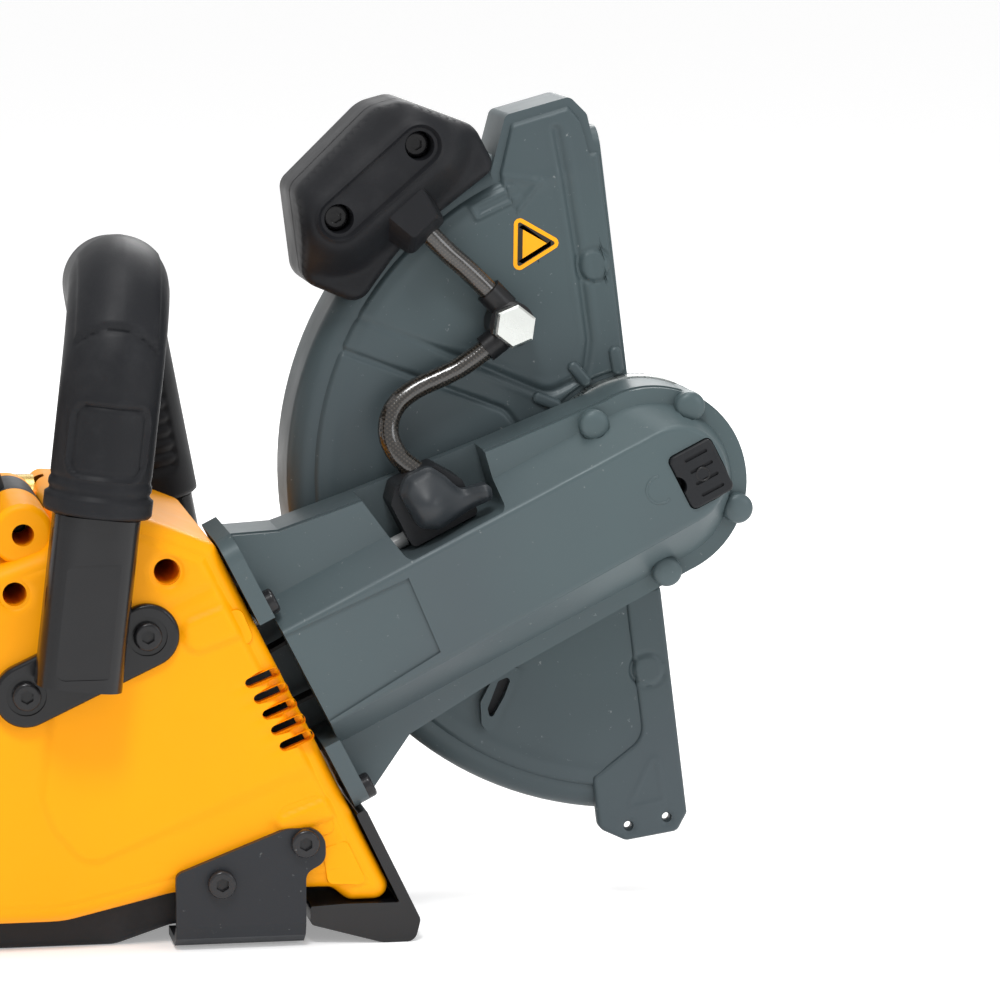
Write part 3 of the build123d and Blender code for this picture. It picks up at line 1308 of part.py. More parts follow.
with BuildPart() as battery_case:
    with BuildSketch(Plane.XY.offset(PACK_FLOOR)):
        with Locations((PACK_X[0], 0)):
            RectangleRounded(PACK_X[0] - PACK_X[1], 2 * BATTERY_HALF, 8, align=(Align.MAX, Align.CENTER))
    extrude(amount=BAY_ROOF - 17.6 - PACK_FLOOR)
    fillet(battery_case.edges().group_by(Axis.Z)[0], 5)
    # rail head: a narrow neck between the lips and a wider top above them
    with BuildSketch(Plane.XY.offset(BAY_ROOF - 17.6)):
        with Locations((PACK_X[0], 0)):
            Rectangle(103, 68, align=(Align.MAX, Align.CENTER))
    extrude(amount=5.2)
    with BuildSketch(Plane.XY.offset(BAY_ROOF - 12.4)):
        with Locations((PACK_X[0], 0)):
            Rectangle(103, 81, align=(Align.MAX, Align.CENTER))
    extrude(amount=11.9)
    # raised hump at the rear that holds the release button
    with BuildSketch(Plane.XY.offset(BAY_ROOF - 17.6)):
        with Locations((-300.5, 0)):
            RectangleRounded(32, 76, 6, align=(Align.MAX, Align.CENTER))
    extrude(amount=12)
    fillet(battery_case.edges().filter_by(lambda e: abs(e.center().Z - BAY_ROOF + 5.6) < 0.01), 3)
    with BuildSketch(Plane.XY.offset(BAY_ROOF)):
        with Locations((-316, 0)):
            RectangleRounded(18.6, 38.6, 4)
    extrude(amount=-17, mode=Mode.SUBTRACT)
    # hollow for the cells, and the socket at the front
    with BuildSketch(Plane.XY.offset(PACK_FLOOR + 2.5)):
        with Locations(((PACK_X[0] + PACK_X[1]) / 2, 0)):
            Rectangle(134, 79)
    extrude(amount=62.5, mode=Mode.SUBTRACT)
    with BuildSketch(Plane.YZ.offset(PACK_X[0] - 5)):
        with Locations((0, 56)):
            Rectangle(50, 34)
    extrude(amount=8, mode=Mode.SUBTRACT)
    # side grooves of the moulding
    for side in (1, -1):
        for z in (30, 62):
            with BuildSketch(Plane.XY.offset(z)):
                with Locations((-266, side * BATTERY_HALF)):
                    Rectangle(112, 1.6)
            extrude(amount=2.4, mode=Mode.SUBTRACT)
battery_case.part.label = "battery_case"
export_step(battery_case.part, "parts/battery_case.step")

CELL_R, CELL_L = 10.6, 70
with BuildPart() as battery_cells:
    for row, count, start in ((0, 6, -320), (1, 5, -309.25), (2, 6, -320)):
        for k in range(count):
            with BuildSketch(side_at(CELL_L / 2)):
                with Locations((start + 21.5 * k, PACK_FLOOR + 13.5 + 18.7 * row)):
                    Circle(CELL_R - 0.1)
            extrude(amount=CELL_L)
battery_cells.part.label = "battery_cells"
export_step(battery_cells.part, "parts/battery_cells.step")

with BuildPart() as battery_release_button:
    with BuildSketch(Plane.XY.offset(BAY_ROOF - 11)):
        with Locations((-316, 0)):
            RectangleRounded(18, 38, 3.7)
    extrude(amount=9)
    fillet(battery_release_button.edges().group_by(Axis.Z)[-1], 2)
battery_release_button.part.label = "battery_release_button"
export_step(battery_release_button.part, "parts/battery_release_button.step")

with BuildPart() as terminal_block:
    with BuildSketch(Plane.YZ.offset(BAY_X[0] - 6)):
        with Locations((0, 56)):
            RectangleRounded(44, 28, 3)
    extrude(amount=-4)
    with BuildSketch(Plane.YZ.offset(BAY_X[0] - 6)):
        with Locations((0, 56)):
            RectangleRounded(44, 28, 3)
    extrude(amount=10)
    for k in range(5):
        with BuildSketch(Plane.YZ.offset(BAY_X[0] - 6)):
            with Locations((-16 + 8 * k, 56)):
                Rectangle(1.2, 16)
        extrude(amount=-5.2)
terminal_block.part.label = "terminal_block"
export_step(terminal_block.part, "parts/terminal_block.step")

# ---- electronics, leads and the water tube --------------------------------------------------------
with BuildPart() as controller_module:
    with BuildSketch(Plane.XY.offset(34)):
        with Locations((-86, 0)):
            RectangleRounded(80, 72, 4)
    extrude(amount=34)
    for k in range(9):
        with BuildSketch(Plane.XY.offset(68)):
            with Locations((-118 + 8 * k, 0)):
                Rectangle(4, 66)
        extrude(amount=-14, mode=Mode.SUBTRACT)
controller_module.part.label = "controller_module"
export_step(controller_module.part, "parts/controller_module.step")

WATER_ROUTE = [(-14, 38, 148), (-2, 38, 143), (8, 33, 131), (26, 20, 122), (38, -6, 125), (44, -29, 122)]
WATER_TURN_U = (-158, -86.5)
water_points = [Vector(*p) for p in WATER_ROUTE] + [on_arm(u, WATER_V, WATER_Y) for u in WATER_TURN_U]


with BuildPart() as water_tube:
    add(tube(water_points, WATER_R)[0])
water_tube.part.label = "water_tube"
export_step(water_tube.part, "parts/water_tube.step")

LEAD_R = 2
BATTERY_LEADS = [(-186, 1, 56), (-170, 1, 57), (-148, 0.8, 50), (-126, 1, 47)]      # X, share of Y, Z
MOTOR_LEADS = [(-46, 1, 50), (-36, 1, 52), (-22, 1, 61), (-10.2, 1, 64)]

with BuildPart() as battery_leads:
    for y in (-9, 9):
        add(tube([Vector(px, y * share, pz) for px, share, pz in BATTERY_LEADS], LEAD_R)[0])
battery_leads.part.label = "battery_leads"
export_step(battery_leads.part, "parts/battery_leads.step")

with BuildPart() as motor_leads:
    for y in (-9, 0, 9):
        add(tube([Vector(px, y * share, pz) for px, share, pz in MOTOR_LEADS], LEAD_R)[0])
motor_leads.part.label = "motor_leads"
export_step(motor_leads.part, "parts/motor_leads.step")
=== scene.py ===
"""Looks of the battery cut-off saw.

The frame's parts get their materials here. Detailed meshes take the place of the grips, hoses, valve lever
and screw caps, and others lie as skins over the guard's face and the body's sides.
"""
import bmesh
import bpy
import json
from math import atan2, cos, exp, hypot, pi, radians, sin, sqrt, tan
from mathutils import Matrix, Vector
from mathutils.geometry import delaunay_2d_cdt
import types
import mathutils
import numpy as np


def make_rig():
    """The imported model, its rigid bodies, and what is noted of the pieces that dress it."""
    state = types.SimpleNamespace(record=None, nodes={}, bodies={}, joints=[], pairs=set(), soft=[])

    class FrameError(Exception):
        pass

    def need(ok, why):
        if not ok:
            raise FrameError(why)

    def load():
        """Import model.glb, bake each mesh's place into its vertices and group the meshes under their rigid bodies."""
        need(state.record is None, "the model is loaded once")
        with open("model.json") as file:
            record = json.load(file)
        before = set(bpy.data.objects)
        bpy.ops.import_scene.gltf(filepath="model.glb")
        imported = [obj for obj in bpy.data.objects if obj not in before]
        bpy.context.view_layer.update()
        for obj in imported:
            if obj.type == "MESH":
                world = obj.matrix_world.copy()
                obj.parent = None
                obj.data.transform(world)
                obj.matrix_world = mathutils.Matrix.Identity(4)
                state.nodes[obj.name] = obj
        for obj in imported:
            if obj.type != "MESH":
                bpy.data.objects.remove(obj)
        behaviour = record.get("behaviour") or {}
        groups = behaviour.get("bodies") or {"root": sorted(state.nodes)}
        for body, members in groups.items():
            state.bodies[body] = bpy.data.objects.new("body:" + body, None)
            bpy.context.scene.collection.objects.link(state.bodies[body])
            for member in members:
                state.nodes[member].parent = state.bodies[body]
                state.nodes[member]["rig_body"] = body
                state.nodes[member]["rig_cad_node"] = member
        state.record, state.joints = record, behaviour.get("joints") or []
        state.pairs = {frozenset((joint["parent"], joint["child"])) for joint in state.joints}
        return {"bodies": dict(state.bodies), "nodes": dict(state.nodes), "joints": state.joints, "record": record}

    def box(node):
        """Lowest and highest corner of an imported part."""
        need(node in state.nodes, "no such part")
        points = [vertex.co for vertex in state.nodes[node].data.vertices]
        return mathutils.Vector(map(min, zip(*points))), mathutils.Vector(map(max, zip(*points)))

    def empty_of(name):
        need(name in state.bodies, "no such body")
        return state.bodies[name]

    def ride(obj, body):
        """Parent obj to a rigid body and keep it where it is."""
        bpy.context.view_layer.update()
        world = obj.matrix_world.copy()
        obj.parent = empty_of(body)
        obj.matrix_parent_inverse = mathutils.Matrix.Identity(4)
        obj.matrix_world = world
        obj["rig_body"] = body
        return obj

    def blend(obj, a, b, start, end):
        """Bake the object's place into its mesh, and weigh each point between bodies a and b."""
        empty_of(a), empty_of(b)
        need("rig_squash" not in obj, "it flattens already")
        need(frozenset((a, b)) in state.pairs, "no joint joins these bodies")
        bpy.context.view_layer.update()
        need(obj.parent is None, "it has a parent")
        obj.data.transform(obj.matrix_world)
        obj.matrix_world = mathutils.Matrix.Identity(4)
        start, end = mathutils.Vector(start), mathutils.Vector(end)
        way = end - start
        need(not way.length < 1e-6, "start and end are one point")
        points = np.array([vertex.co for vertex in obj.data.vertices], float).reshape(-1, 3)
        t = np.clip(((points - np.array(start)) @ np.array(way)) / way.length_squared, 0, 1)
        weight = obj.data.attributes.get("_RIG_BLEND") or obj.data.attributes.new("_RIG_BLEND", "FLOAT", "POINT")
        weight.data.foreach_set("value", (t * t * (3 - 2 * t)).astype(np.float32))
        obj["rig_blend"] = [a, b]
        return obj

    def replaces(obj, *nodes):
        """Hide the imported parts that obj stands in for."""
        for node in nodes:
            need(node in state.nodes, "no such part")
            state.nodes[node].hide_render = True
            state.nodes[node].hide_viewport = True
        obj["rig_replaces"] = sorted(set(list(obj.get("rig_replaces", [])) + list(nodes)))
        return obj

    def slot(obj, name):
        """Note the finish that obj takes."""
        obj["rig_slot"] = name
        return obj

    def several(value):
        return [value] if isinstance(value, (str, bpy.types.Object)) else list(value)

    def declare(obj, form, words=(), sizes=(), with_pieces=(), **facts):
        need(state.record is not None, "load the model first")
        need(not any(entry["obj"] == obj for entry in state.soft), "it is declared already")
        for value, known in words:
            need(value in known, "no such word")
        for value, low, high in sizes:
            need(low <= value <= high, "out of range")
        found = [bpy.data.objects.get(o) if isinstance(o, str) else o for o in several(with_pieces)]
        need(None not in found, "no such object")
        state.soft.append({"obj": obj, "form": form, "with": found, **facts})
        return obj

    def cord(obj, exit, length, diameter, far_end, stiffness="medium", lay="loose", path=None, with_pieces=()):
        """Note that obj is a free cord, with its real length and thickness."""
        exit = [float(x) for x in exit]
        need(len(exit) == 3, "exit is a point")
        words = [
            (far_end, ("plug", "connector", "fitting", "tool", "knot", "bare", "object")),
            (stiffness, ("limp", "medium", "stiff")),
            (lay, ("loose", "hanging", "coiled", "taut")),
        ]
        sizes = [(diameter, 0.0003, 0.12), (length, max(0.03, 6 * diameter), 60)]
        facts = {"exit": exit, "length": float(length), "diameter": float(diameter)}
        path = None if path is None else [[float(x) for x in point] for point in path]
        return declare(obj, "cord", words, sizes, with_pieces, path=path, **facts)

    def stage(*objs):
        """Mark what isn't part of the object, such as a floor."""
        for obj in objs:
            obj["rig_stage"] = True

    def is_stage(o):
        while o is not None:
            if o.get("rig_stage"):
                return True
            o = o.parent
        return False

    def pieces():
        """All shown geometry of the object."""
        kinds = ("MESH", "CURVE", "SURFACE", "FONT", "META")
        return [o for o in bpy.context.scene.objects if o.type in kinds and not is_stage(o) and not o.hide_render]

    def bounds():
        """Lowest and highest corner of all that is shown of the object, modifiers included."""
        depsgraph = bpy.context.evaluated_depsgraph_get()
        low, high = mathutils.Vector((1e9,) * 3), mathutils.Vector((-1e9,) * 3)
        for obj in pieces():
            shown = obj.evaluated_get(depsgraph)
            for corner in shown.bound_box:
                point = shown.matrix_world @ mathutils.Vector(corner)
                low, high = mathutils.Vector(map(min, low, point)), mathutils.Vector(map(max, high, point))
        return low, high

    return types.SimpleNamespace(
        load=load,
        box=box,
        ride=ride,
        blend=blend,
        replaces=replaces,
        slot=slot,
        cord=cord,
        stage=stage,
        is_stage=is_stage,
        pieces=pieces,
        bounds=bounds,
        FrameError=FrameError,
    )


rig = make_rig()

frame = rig.load()
CAD_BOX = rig.bounds()
MM = 0.001
JOINTS = {joint["name"]: joint for joint in frame["record"]["behaviour"]["joints"]}
SPINDLE = Vector(JOINTS["guard_swing"]["pos_m"]) / MM
ARM_TILT, GUARD_TILT = radians(27), radians(7)
GUARD_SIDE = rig.box("guard_shell")[0].y / MM          # the guard's right face
ARM_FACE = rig.box("arm_cover")[0].y / MM              # the arm cover's right face


# ---- places: each takes millimetres on a side view and a depth in Y ------------------------------
def turned(angle):
    """A placing function for a side view with its origin on the spindle, turned by angle."""
    c, s = cos(angle), sin(angle)

    def place(x, z, y):
        return Vector((SPINDLE.x + x * c - z * s, y, SPINDLE.z + x * s + z * c)) * MM
    return place


on_arm, on_guard = turned(ARM_TILT), turned(GUARD_TILT)


def on_side(x, z, y):
    return Vector((x, y, z)) * MM


# ---- outlines --------------------------------------------------------------------------------------
def rounded(points, radius, closed=True, steps=6):
    """The outline with an arc in place of each corner; radius is one number or one for each corner."""
    out = []
    for i, point in enumerate(points):
        p = Vector(point)
        if not closed and i in (0, len(points) - 1):
            out.append(p)
            continue
        before, after = Vector(points[i - 1]) - p, Vector(points[(i + 1) % len(points)]) - p
        wanted = radius[i] if isinstance(radius, (list, tuple)) else radius
        half = before.angle(after) / 2
        reach = min(wanted / tan(half), 0.49 * before.length, 0.49 * after.length)
        arc = reach * tan(half)
        start, end = before.normalized() * reach, after.normalized() * reach
        middle = (before.normalized() + after.normalized()).normalized() * (arc / sin(half))
        for k in range(steps + 1):
            out.append(p + middle + (start - middle).lerp(end - middle, k / steps).normalized() * arc)
    return out


def circle(x, z, radius, count):
    return [Vector((x + radius * cos(2 * pi * k / count), z + radius * sin(2 * pi * k / count)))
            for k in range(count)]


def stadium(x, z, length, width, angle, count=16):
    """A slot's outline: overall length and width, turned by angle."""
    r, half = width / 2, (length - width) / 2
    ends = [(half, -pi / 2), (-half, pi / 2)]
    turn = Matrix.Rotation(angle, 2)
    return [Vector((x, z)) + turn @ Vector((cx + r * cos(a0 + pi * k / count), r * sin(a0 + pi * k / count)))
            for cx, a0 in ends for k in range(count + 1)]


def area(points):
    return sum(a.x * b.y - b.x * a.y for a, b in zip(points, points[1:] + points[:1])) / 2


def inset(points, distance):
    """The outline moved inwards, or outwards where distance is negative."""
    sign = 1 if area(points) > 0 else -1
    out = []
    for i, p in enumerate(points):
        into, away = p - points[i - 1], points[(i + 1) % len(points)] - p
        if into.length < 1e-6:
            into = away
        if away.length < 1e-6:
            away = into
        along = into.normalized() + away.normalized()
        normal = Vector((-along.y, along.x)).normalized() * sign
        out.append(p + normal * distance)
    return out


def inside(x, z, outline):
    hit = False
    for a, b in zip(outline, outline[1:] + outline[:1]):
        if (a.y > z) != (b.y > z) and x < (b.x - a.x) * (z - a.y) / (b.y - a.y) + a.x:
            hit = not hit
    return hit


def smoothstep(low, high, value):
    t = min(1, max(0, (value - low) / (high - low)))
    return t * t * (3 - 2 * t)


def ridge(distance, width):
    """A soft ridge's share of its height at a distance from its middle line."""
    return exp(-(distance / width) ** 2)


# ---- pieces ----------------------------------------------------------------------------------------
def piece(name, verts, faces, material, body, replaced=(), sharp=35, slot=None):
    """A mesh that rides on a body, in a record's material slot, in place of the replaced nodes."""
    mesh = bpy.data.meshes.new(name)
    mesh.from_pydata([tuple(v) for v in verts], [], faces)
    work = bmesh.new()
    work.from_mesh(mesh)
    bmesh.ops.remove_doubles(work, verts=work.verts, dist=1e-6)
    bmesh.ops.recalc_face_normals(work, faces=work.faces)
    work.to_mesh(mesh)
    work.free()
    mesh.shade_smooth()
    mesh.set_sharp_from_angle(angle=radians(sharp))
    obj = bpy.data.objects.new(name, mesh)
    bpy.context.scene.collection.objects.link(obj)
    obj.data.materials.append(MATERIALS[material])
    if replaced:
        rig.replaces(obj, *replaced)
    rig.slot(obj, slot or material)
    if body:
        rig.ride(obj, body)
    return obj


def loft(rings, cap_start=True, cap_end=True, closed=True):
    """Vertices and faces of a skin over rings of equal count."""
    count = len(rings[0])
    verts = [v for ring in rings for v in ring]
    faces = []
    for r in range(len(rings) - 1):
        for k in range(count if closed else count - 1):
            a, b = r * count + k, r * count + (k + 1) % count
            faces.append((a, b, b + count, a + count))
    if cap_start:
        faces.append(tuple(range(count)))
    if cap_end:
        faces.append(tuple(range(len(verts) - count, len(verts))))
    return verts, faces


def wall(place, outline, start, end):
    """The side wall of an outline from one depth in Y to another."""
    return loft([[place(p.x, p.y, y) for p in outline] for y in (start, end)], False, False)


def join(parts):
    """Several (verts, faces) as one."""
    verts, faces = [], []
    for more_verts, more_faces in parts:
        start = len(verts)
        verts += list(more_verts)
        faces += [tuple(i + start for i in face) for face in more_faces]
    return verts, faces


def pad(place, outline, base, height, edge, sink=0.6):
    """A raised pad with a rounded rim, standing out to the saw's right from depth base."""
    rings = [[place(p.x, p.y, base + sink) for p in outline]]
    steps = 4
    for k in range(steps + 1):
        a = pi / 2 * k / steps
        shape = inset(outline, edge * (1 - cos(a)))
        rings.append([place(p.x, p.y, base - height + edge * (1 - sin(a))) for p in shape])
    return loft(rings)


def filled(outer, holes, extra=()):
    """Triangles between an outline and its holes, through extra points: (2-D points, faces)."""
    points, edges = [], []
    for loop in [outer, *holes]:
        start = len(points)
        points += loop
        edges += [(start + k, start + (k + 1) % len(loop)) for k in range(len(loop))]
    points += list(extra)
    flat, _, faces, _, _, _ = delaunay_2d_cdt(points, edges, [], 0, 1e-5)
    kept = []
    for face in faces:
        x = sum(flat[i].x for i in face) / len(face)
        z = sum(flat[i].y for i in face) / len(face)
        if inside(x, z, outer) and not any(inside(x, z, hole) for hole in holes):
            kept.append(tuple(face))
    return flat, kept


def swept(points, radius, sides=20, resolution=10):
    """A round tube that follows the smooth NURBS line of points: (verts, faces, line)."""
    curve = bpy.data.curves.new("route", "CURVE")
    curve.dimensions = "3D"
    spline = curve.splines.new("NURBS")
    spline.points.add(len(points) - 1)
    for target, p in zip(spline.points, points):
        target.co = (*p, 1)
    spline.order_u = 3
    spline.use_endpoint_u = True
    spline.resolution_u = resolution
    holder = bpy.data.objects.new("route", curve)
    mesh = bpy.data.meshes.new_from_object(holder)
    line = [v.co.copy() for v in mesh.vertices]
    bpy.data.objects.remove(holder)
    bpy.data.meshes.remove(mesh)
    normal = (line[1] - line[0]).orthogonal().normalized()
    rings = []
    for i, p in enumerate(line):
        along = (line[min(i + 1, len(line) - 1)] - line[max(i - 1, 0)]).normalized()
        normal = (normal - along * normal.dot(along)).normalized()
        other = along.cross(normal)
        turns = [2 * pi * k / sides for k in range(sides)]
        rings.append([p + (normal * cos(a) + other * sin(a)) * radius * MM for a in turns])
    verts, faces = loft(rings)
    return verts, faces, line


BEAD_SIDES = 10


def bead(place, points, depth, radius, bend, closed=False):
    """A half-sunk round bead along a rounded line on a face."""
    line = rounded(points, bend, closed)
    if closed:
        line.append(line[0])
    rings = []
    for i, p in enumerate(line):
        along = (line[min(i + 1, len(line) - 1)] - line[max(i - 1, 0)])
        if closed and i in (0, len(line) - 1):
            along = line[1] - line[-2]
        across = Vector((-along.y, along.x)).normalized()
        ring = []
        for k in range(BEAD_SIDES):
            a = 2 * pi * k / BEAD_SIDES
            q = p + across * radius * cos(a)
            ring.append(place(q.x, q.y, depth - radius * sin(a)))
        rings.append(ring)
    return loft(rings)


def turned_on_axis(place, x, z, profile, sides=40):
    """A round form on an axis along Y from (radius, depth) pairs."""
    return loft([[place(p.x, p.y, y) for p in circle(x, z, r, sides)] for r, y in profile])


# ---- materials -------------------------------------------------------------------------------------
MATERIALS = {}


class Nodes:
    """A material's node tree with short names for what the surfaces share."""

    def __init__(self, name):
        self.material = bpy.data.materials.new(name)
        self.material.use_nodes = True
        self.tree = self.material.node_tree
        self.shader = self.tree.nodes["Principled BSDF"]
        self.place = self.new("ShaderNodeTexCoord").outputs["Object"]
        MATERIALS[name] = self.material

    def new(self, kind, **settings):
        node = self.tree.nodes.new(kind)
        for key, value in settings.items():
            setattr(node, key, value)
        return node

    def link(self, source, target):
        self.tree.links.new(source, target)

    def stretched(self, scale):
        mapping = self.new("ShaderNodeMapping")
        mapping.inputs["Scale"].default_value = scale
        self.link(self.place, mapping.inputs["Vector"])
        return mapping.outputs["Vector"]

    def noise(self, scale, detail=3, rough=0.5, source=None):
        node = self.new("ShaderNodeTexNoise")
        node.inputs["Scale"].default_value = scale
        node.inputs["Detail"].default_value = detail
        node.inputs["Roughness"].default_value = rough
        self.link(source or self.place, node.inputs["Vector"])
        return node.outputs["Fac"]

    def spread(self, value, low, high, start=0.3, end=0.7):
        node = self.new("ShaderNodeMapRange")
        for key, number in (("From Min", start), ("From Max", end), ("To Min", low), ("To Max", high)):
            node.inputs[key].default_value = number
        self.link(value, node.inputs["Value"])
        return node.outputs["Result"]

    def mixed(self, value, first, second):
        node = self.new("ShaderNodeMix", data_type="RGBA")
        self.link(value, node.inputs["Factor"])
        for index, colour in ((6, first), (7, second)):
            if isinstance(colour, (list, tuple)):
                node.inputs[index].default_value = (*colour, 1)
            else:
                self.link(colour, node.inputs[index])
        return node.outputs[2]

    def bump(self, height, distance, strength=1.0, below=None):
        node = self.new("ShaderNodeBump")
        node.inputs["Distance"].default_value = distance * MM
        node.inputs["Strength"].default_value = strength
        self.link(height, node.inputs["Height"])
        if below:
            self.link(below, node.inputs["Normal"])
        return node.outputs["Normal"]


def shade(colour, share):
    return [c * share for c in colour]


def moulded(name, colour, rough, grain=900, depth=0.05, vary=0.12, specular=0.5, dust=0.0):
    """Moulded plastic or rubber: soft colour drift, a fine grain and slightly uneven gloss."""
    n = Nodes(name)
    base = n.mixed(n.spread(n.noise(14, 4), 0, 1), shade(colour, 1 - vary), shade(colour, 1 + vary))
    if dust:
        base = n.mixed(n.spread(n.noise(38, 6, 0.7), 0, dust, 0.5, 0.8), base, (0.3, 0.3, 0.3))
    n.link(base, n.shader.inputs["Base Color"])
    n.link(n.spread(n.noise(60, 5), rough * 0.88, rough * 1.12), n.shader.inputs["Roughness"])
    fine = n.bump(n.noise(grain, 2, 0.6), depth, 0.6)
    n.link(n.bump(n.noise(25, 3), depth * 3, 0.25, fine), n.shader.inputs["Normal"])
    n.shader.inputs["Specular IOR Level"].default_value = specular


def powder_coat(name, colour, rough, tint):
    """Powder coat on a casting: orange peel, faint cooler and warmer patches, tiny rubbed specks."""
    n = Nodes(name)
    base = n.mixed(n.spread(n.noise(7, 3), 0, 1, 0.35, 0.65), colour, tint)
    base = n.mixed(n.spread(n.noise(420, 3, 0.7), 0, 0.5, 0.68, 0.76), base, (0.28, 0.3, 0.3))
    n.link(base, n.shader.inputs["Base Color"])
    n.link(n.spread(n.noise(35, 5), rough * 0.85, rough * 1.15), n.shader.inputs["Roughness"])
    peel = n.bump(n.noise(520, 2, 0.4), 0.05, 0.5)
    n.link(n.bump(n.noise(120, 2), 0.08, 0.25, peel), n.shader.inputs["Normal"])
    n.shader.inputs["Metallic"].default_value = 0.1
    n.shader.inputs["Specular IOR Level"].default_value = 0.32


def turned_metal(name, colour, rough, scale=(900, 60, 900), scratch=0.04):
    """Machined or plated metal with fine tool marks and a little tarnish."""
    n = Nodes(name)
    base = n.mixed(n.spread(n.noise(30, 5), 0, 1), shade(colour, 0.86), shade(colour, 1.05))
    n.link(base, n.shader.inputs["Base Color"])
    marks = n.noise(1, 3, 0.6, n.stretched(scale))
    n.link(n.spread(marks, rough * 0.75, rough * 1.3), n.shader.inputs["Roughness"])
    n.link(n.bump(marks, scratch, 0.5), n.shader.inputs["Normal"])
    n.shader.inputs["Metallic"].default_value = 1


moulded("body_yellow", (0.91, 0.345, 0.0), 0.42, grain=700, depth=0.03, vary=0.03, specular=0.16)
moulded("black_plastic", (0.012, 0.013, 0.015), 0.5, dust=0.03, specular=0.22)
moulded("handle_plastic", (0.006, 0.006, 0.007), 0.24, grain=500, depth=0.03, specular=0.35)
moulded("deflector", (0.006, 0.006, 0.007), 0.22, grain=400, specular=0.4, dust=0.02)
moulded("grip_rubber", (0.01, 0.0105, 0.0125), 0.5, grain=1100, depth=0.05, vary=0.15, dust=0.03,
        specular=0.18)
moulded("belt_rubber", (0.015, 0.015, 0.015), 0.7)
moulded("hose_fitting", (0.008, 0.008, 0.009), 0.36, specular=0.3)
moulded("trigger_plastic", (0.011, 0.011, 0.012), 0.4, grain=600, specular=0.3)
moulded("battery_plastic", (0.012, 0.012, 0.013), 0.48, grain=800, depth=0.07, dust=0.04, specular=0.3)
moulded("white_plastic", (0.6, 0.6, 0.57), 0.45)
moulded("cell_wrap", (0.06, 0.2, 0.38), 0.35)
moulded("clear_tube", (0.35, 0.36, 0.36), 0.25)
moulded("lead_red", (0.35, 0.015, 0.01), 0.4)
moulded("lead_black", (0.012, 0.012, 0.012), 0.4)
moulded("lever_grey", (0.02, 0.024, 0.028), 0.45, grain=700, specular=0.35)
moulded("sticker_yellow", (0.93, 0.38, 0.0), 0.35, grain=300, depth=0.01, vary=0.03, specular=0.3)
moulded("sticker_black", (0.02, 0.017, 0.013), 0.35, grain=300, depth=0.01, specular=0.3)
powder_coat("arm_grey", (0.066, 0.094, 0.1), 0.4, (0.062, 0.08, 0.088))
powder_coat("guard_grey", (0.054, 0.078, 0.084), 0.42, (0.05, 0.066, 0.074))
powder_coat("black_steel", (0.02, 0.023, 0.028), 0.42, (0.016, 0.018, 0.022))
powder_coat("arm_screw", (0.075, 0.092, 0.1), 0.38, (0.06, 0.07, 0.08))
powder_coat("black_screw", (0.012, 0.012, 0.013), 0.22, (0.02, 0.02, 0.022))
turned_metal("bright_steel", (0.66, 0.68, 0.66), 0.3)
turned_metal("zinc_steel", (0.55, 0.55, 0.52), 0.32)
turned_metal("bearing_steel", (0.6, 0.6, 0.6), 0.2)
turned_metal("pulley_steel", (0.3, 0.3, 0.3), 0.45)
turned_metal("core_steel", (0.22, 0.22, 0.23), 0.45, (40, 3000, 40), 0.1)
turned_metal("copper", (0.72, 0.33, 0.14), 0.3)
turned_metal("banjo_metal", (0.72, 0.74, 0.71), 0.3, (260, 260, 260), 0.03)
turned_metal("brass_fitting", (0.6, 0.42, 0.14), 0.3)
turned_metal("module_aluminium", (0.42, 0.42, 0.43), 0.4)


def hose_material():
    """A dark clear hose over a braid: fine crossed threads under a glossy skin."""
    n = Nodes("hose")
    threads = []
    for angle in (0.9, -0.9):
        mapping = n.new("ShaderNodeMapping")
        mapping.inputs["Rotation"].default_value = (0, angle, 0)
        n.link(n.place, mapping.inputs["Vector"])
        wave = n.new("ShaderNodeTexWave")
        wave.inputs["Scale"].default_value = 260
        wave.inputs["Distortion"].default_value = 1.5
        n.link(mapping.outputs["Vector"], wave.inputs["Vector"])
        threads.append(wave.outputs["Fac"])
    weave = n.new("ShaderNodeMath", operation="MULTIPLY")
    n.link(threads[0], weave.inputs[0])
    n.link(threads[1], weave.inputs[1])
    n.link(n.mixed(n.spread(weave.outputs[0], 0, 1, 0.1, 0.9), (0.01, 0.008, 0.006), (0.045, 0.036, 0.027)),
           n.shader.inputs["Base Color"])
    n.link(n.bump(weave.outputs[0], 0.1, 0.35), n.shader.inputs["Normal"])
    n.link(n.spread(n.noise(90, 4), 0.16, 0.3), n.shader.inputs["Roughness"])
    n.shader.inputs["Coat Weight"].default_value = 0.8
    n.shader.inputs["Coat Roughness"].default_value = 0.06


hose_material()
for part in frame["record"]["subparts"]:
    for material_slot in frame["nodes"][part["node"]].material_slots:
        material_slot.material = MATERIALS[part["material_slot"]]


# ---- front handle's rubber grip --------------------------------------------------------------------
# The tube's corners run from its right foot over the saw to its left foot.
HANDLE_PATH = [(-8.5, -75.5, 98), (8, -75.5, 236), (18, 75.5, 224), (39, 75.5, 112)]
HANDLE_BEND = 32
GRIP_R = 17.8
GRIP_SINK = 0.25                                      # the plain skin lies this far inside the grip's radius
GRIP_START, GRIP_STOP = 60.4, 30.4                    # bare tube before and after the grip
COLLARS = [(6.5, 7.6, 0.95), (11, 12.2, 0.35)]        # where each ring's top starts and ends, and its height
COLLAR_GROOVES = [(8.2, 0.8, 0.7), (12.9, 0.5, 0.6)]  # height over the grip's end, depth and width
THUMB_PANEL = (27, 14.5, 12, 5.5)                     # middle height, half width, half height and corner
RIB_PANEL = (38, 12.5, 27, 5)                         # the same for the ribs, over the grip's left end
RIB_PITCH, RIB_DEPTH = 5.2, 1.3
CAP_START, CAP_ARCH, CAP_HALF = 119, 0.011, 17.5      # along the tube, arch of the lower edge, half width
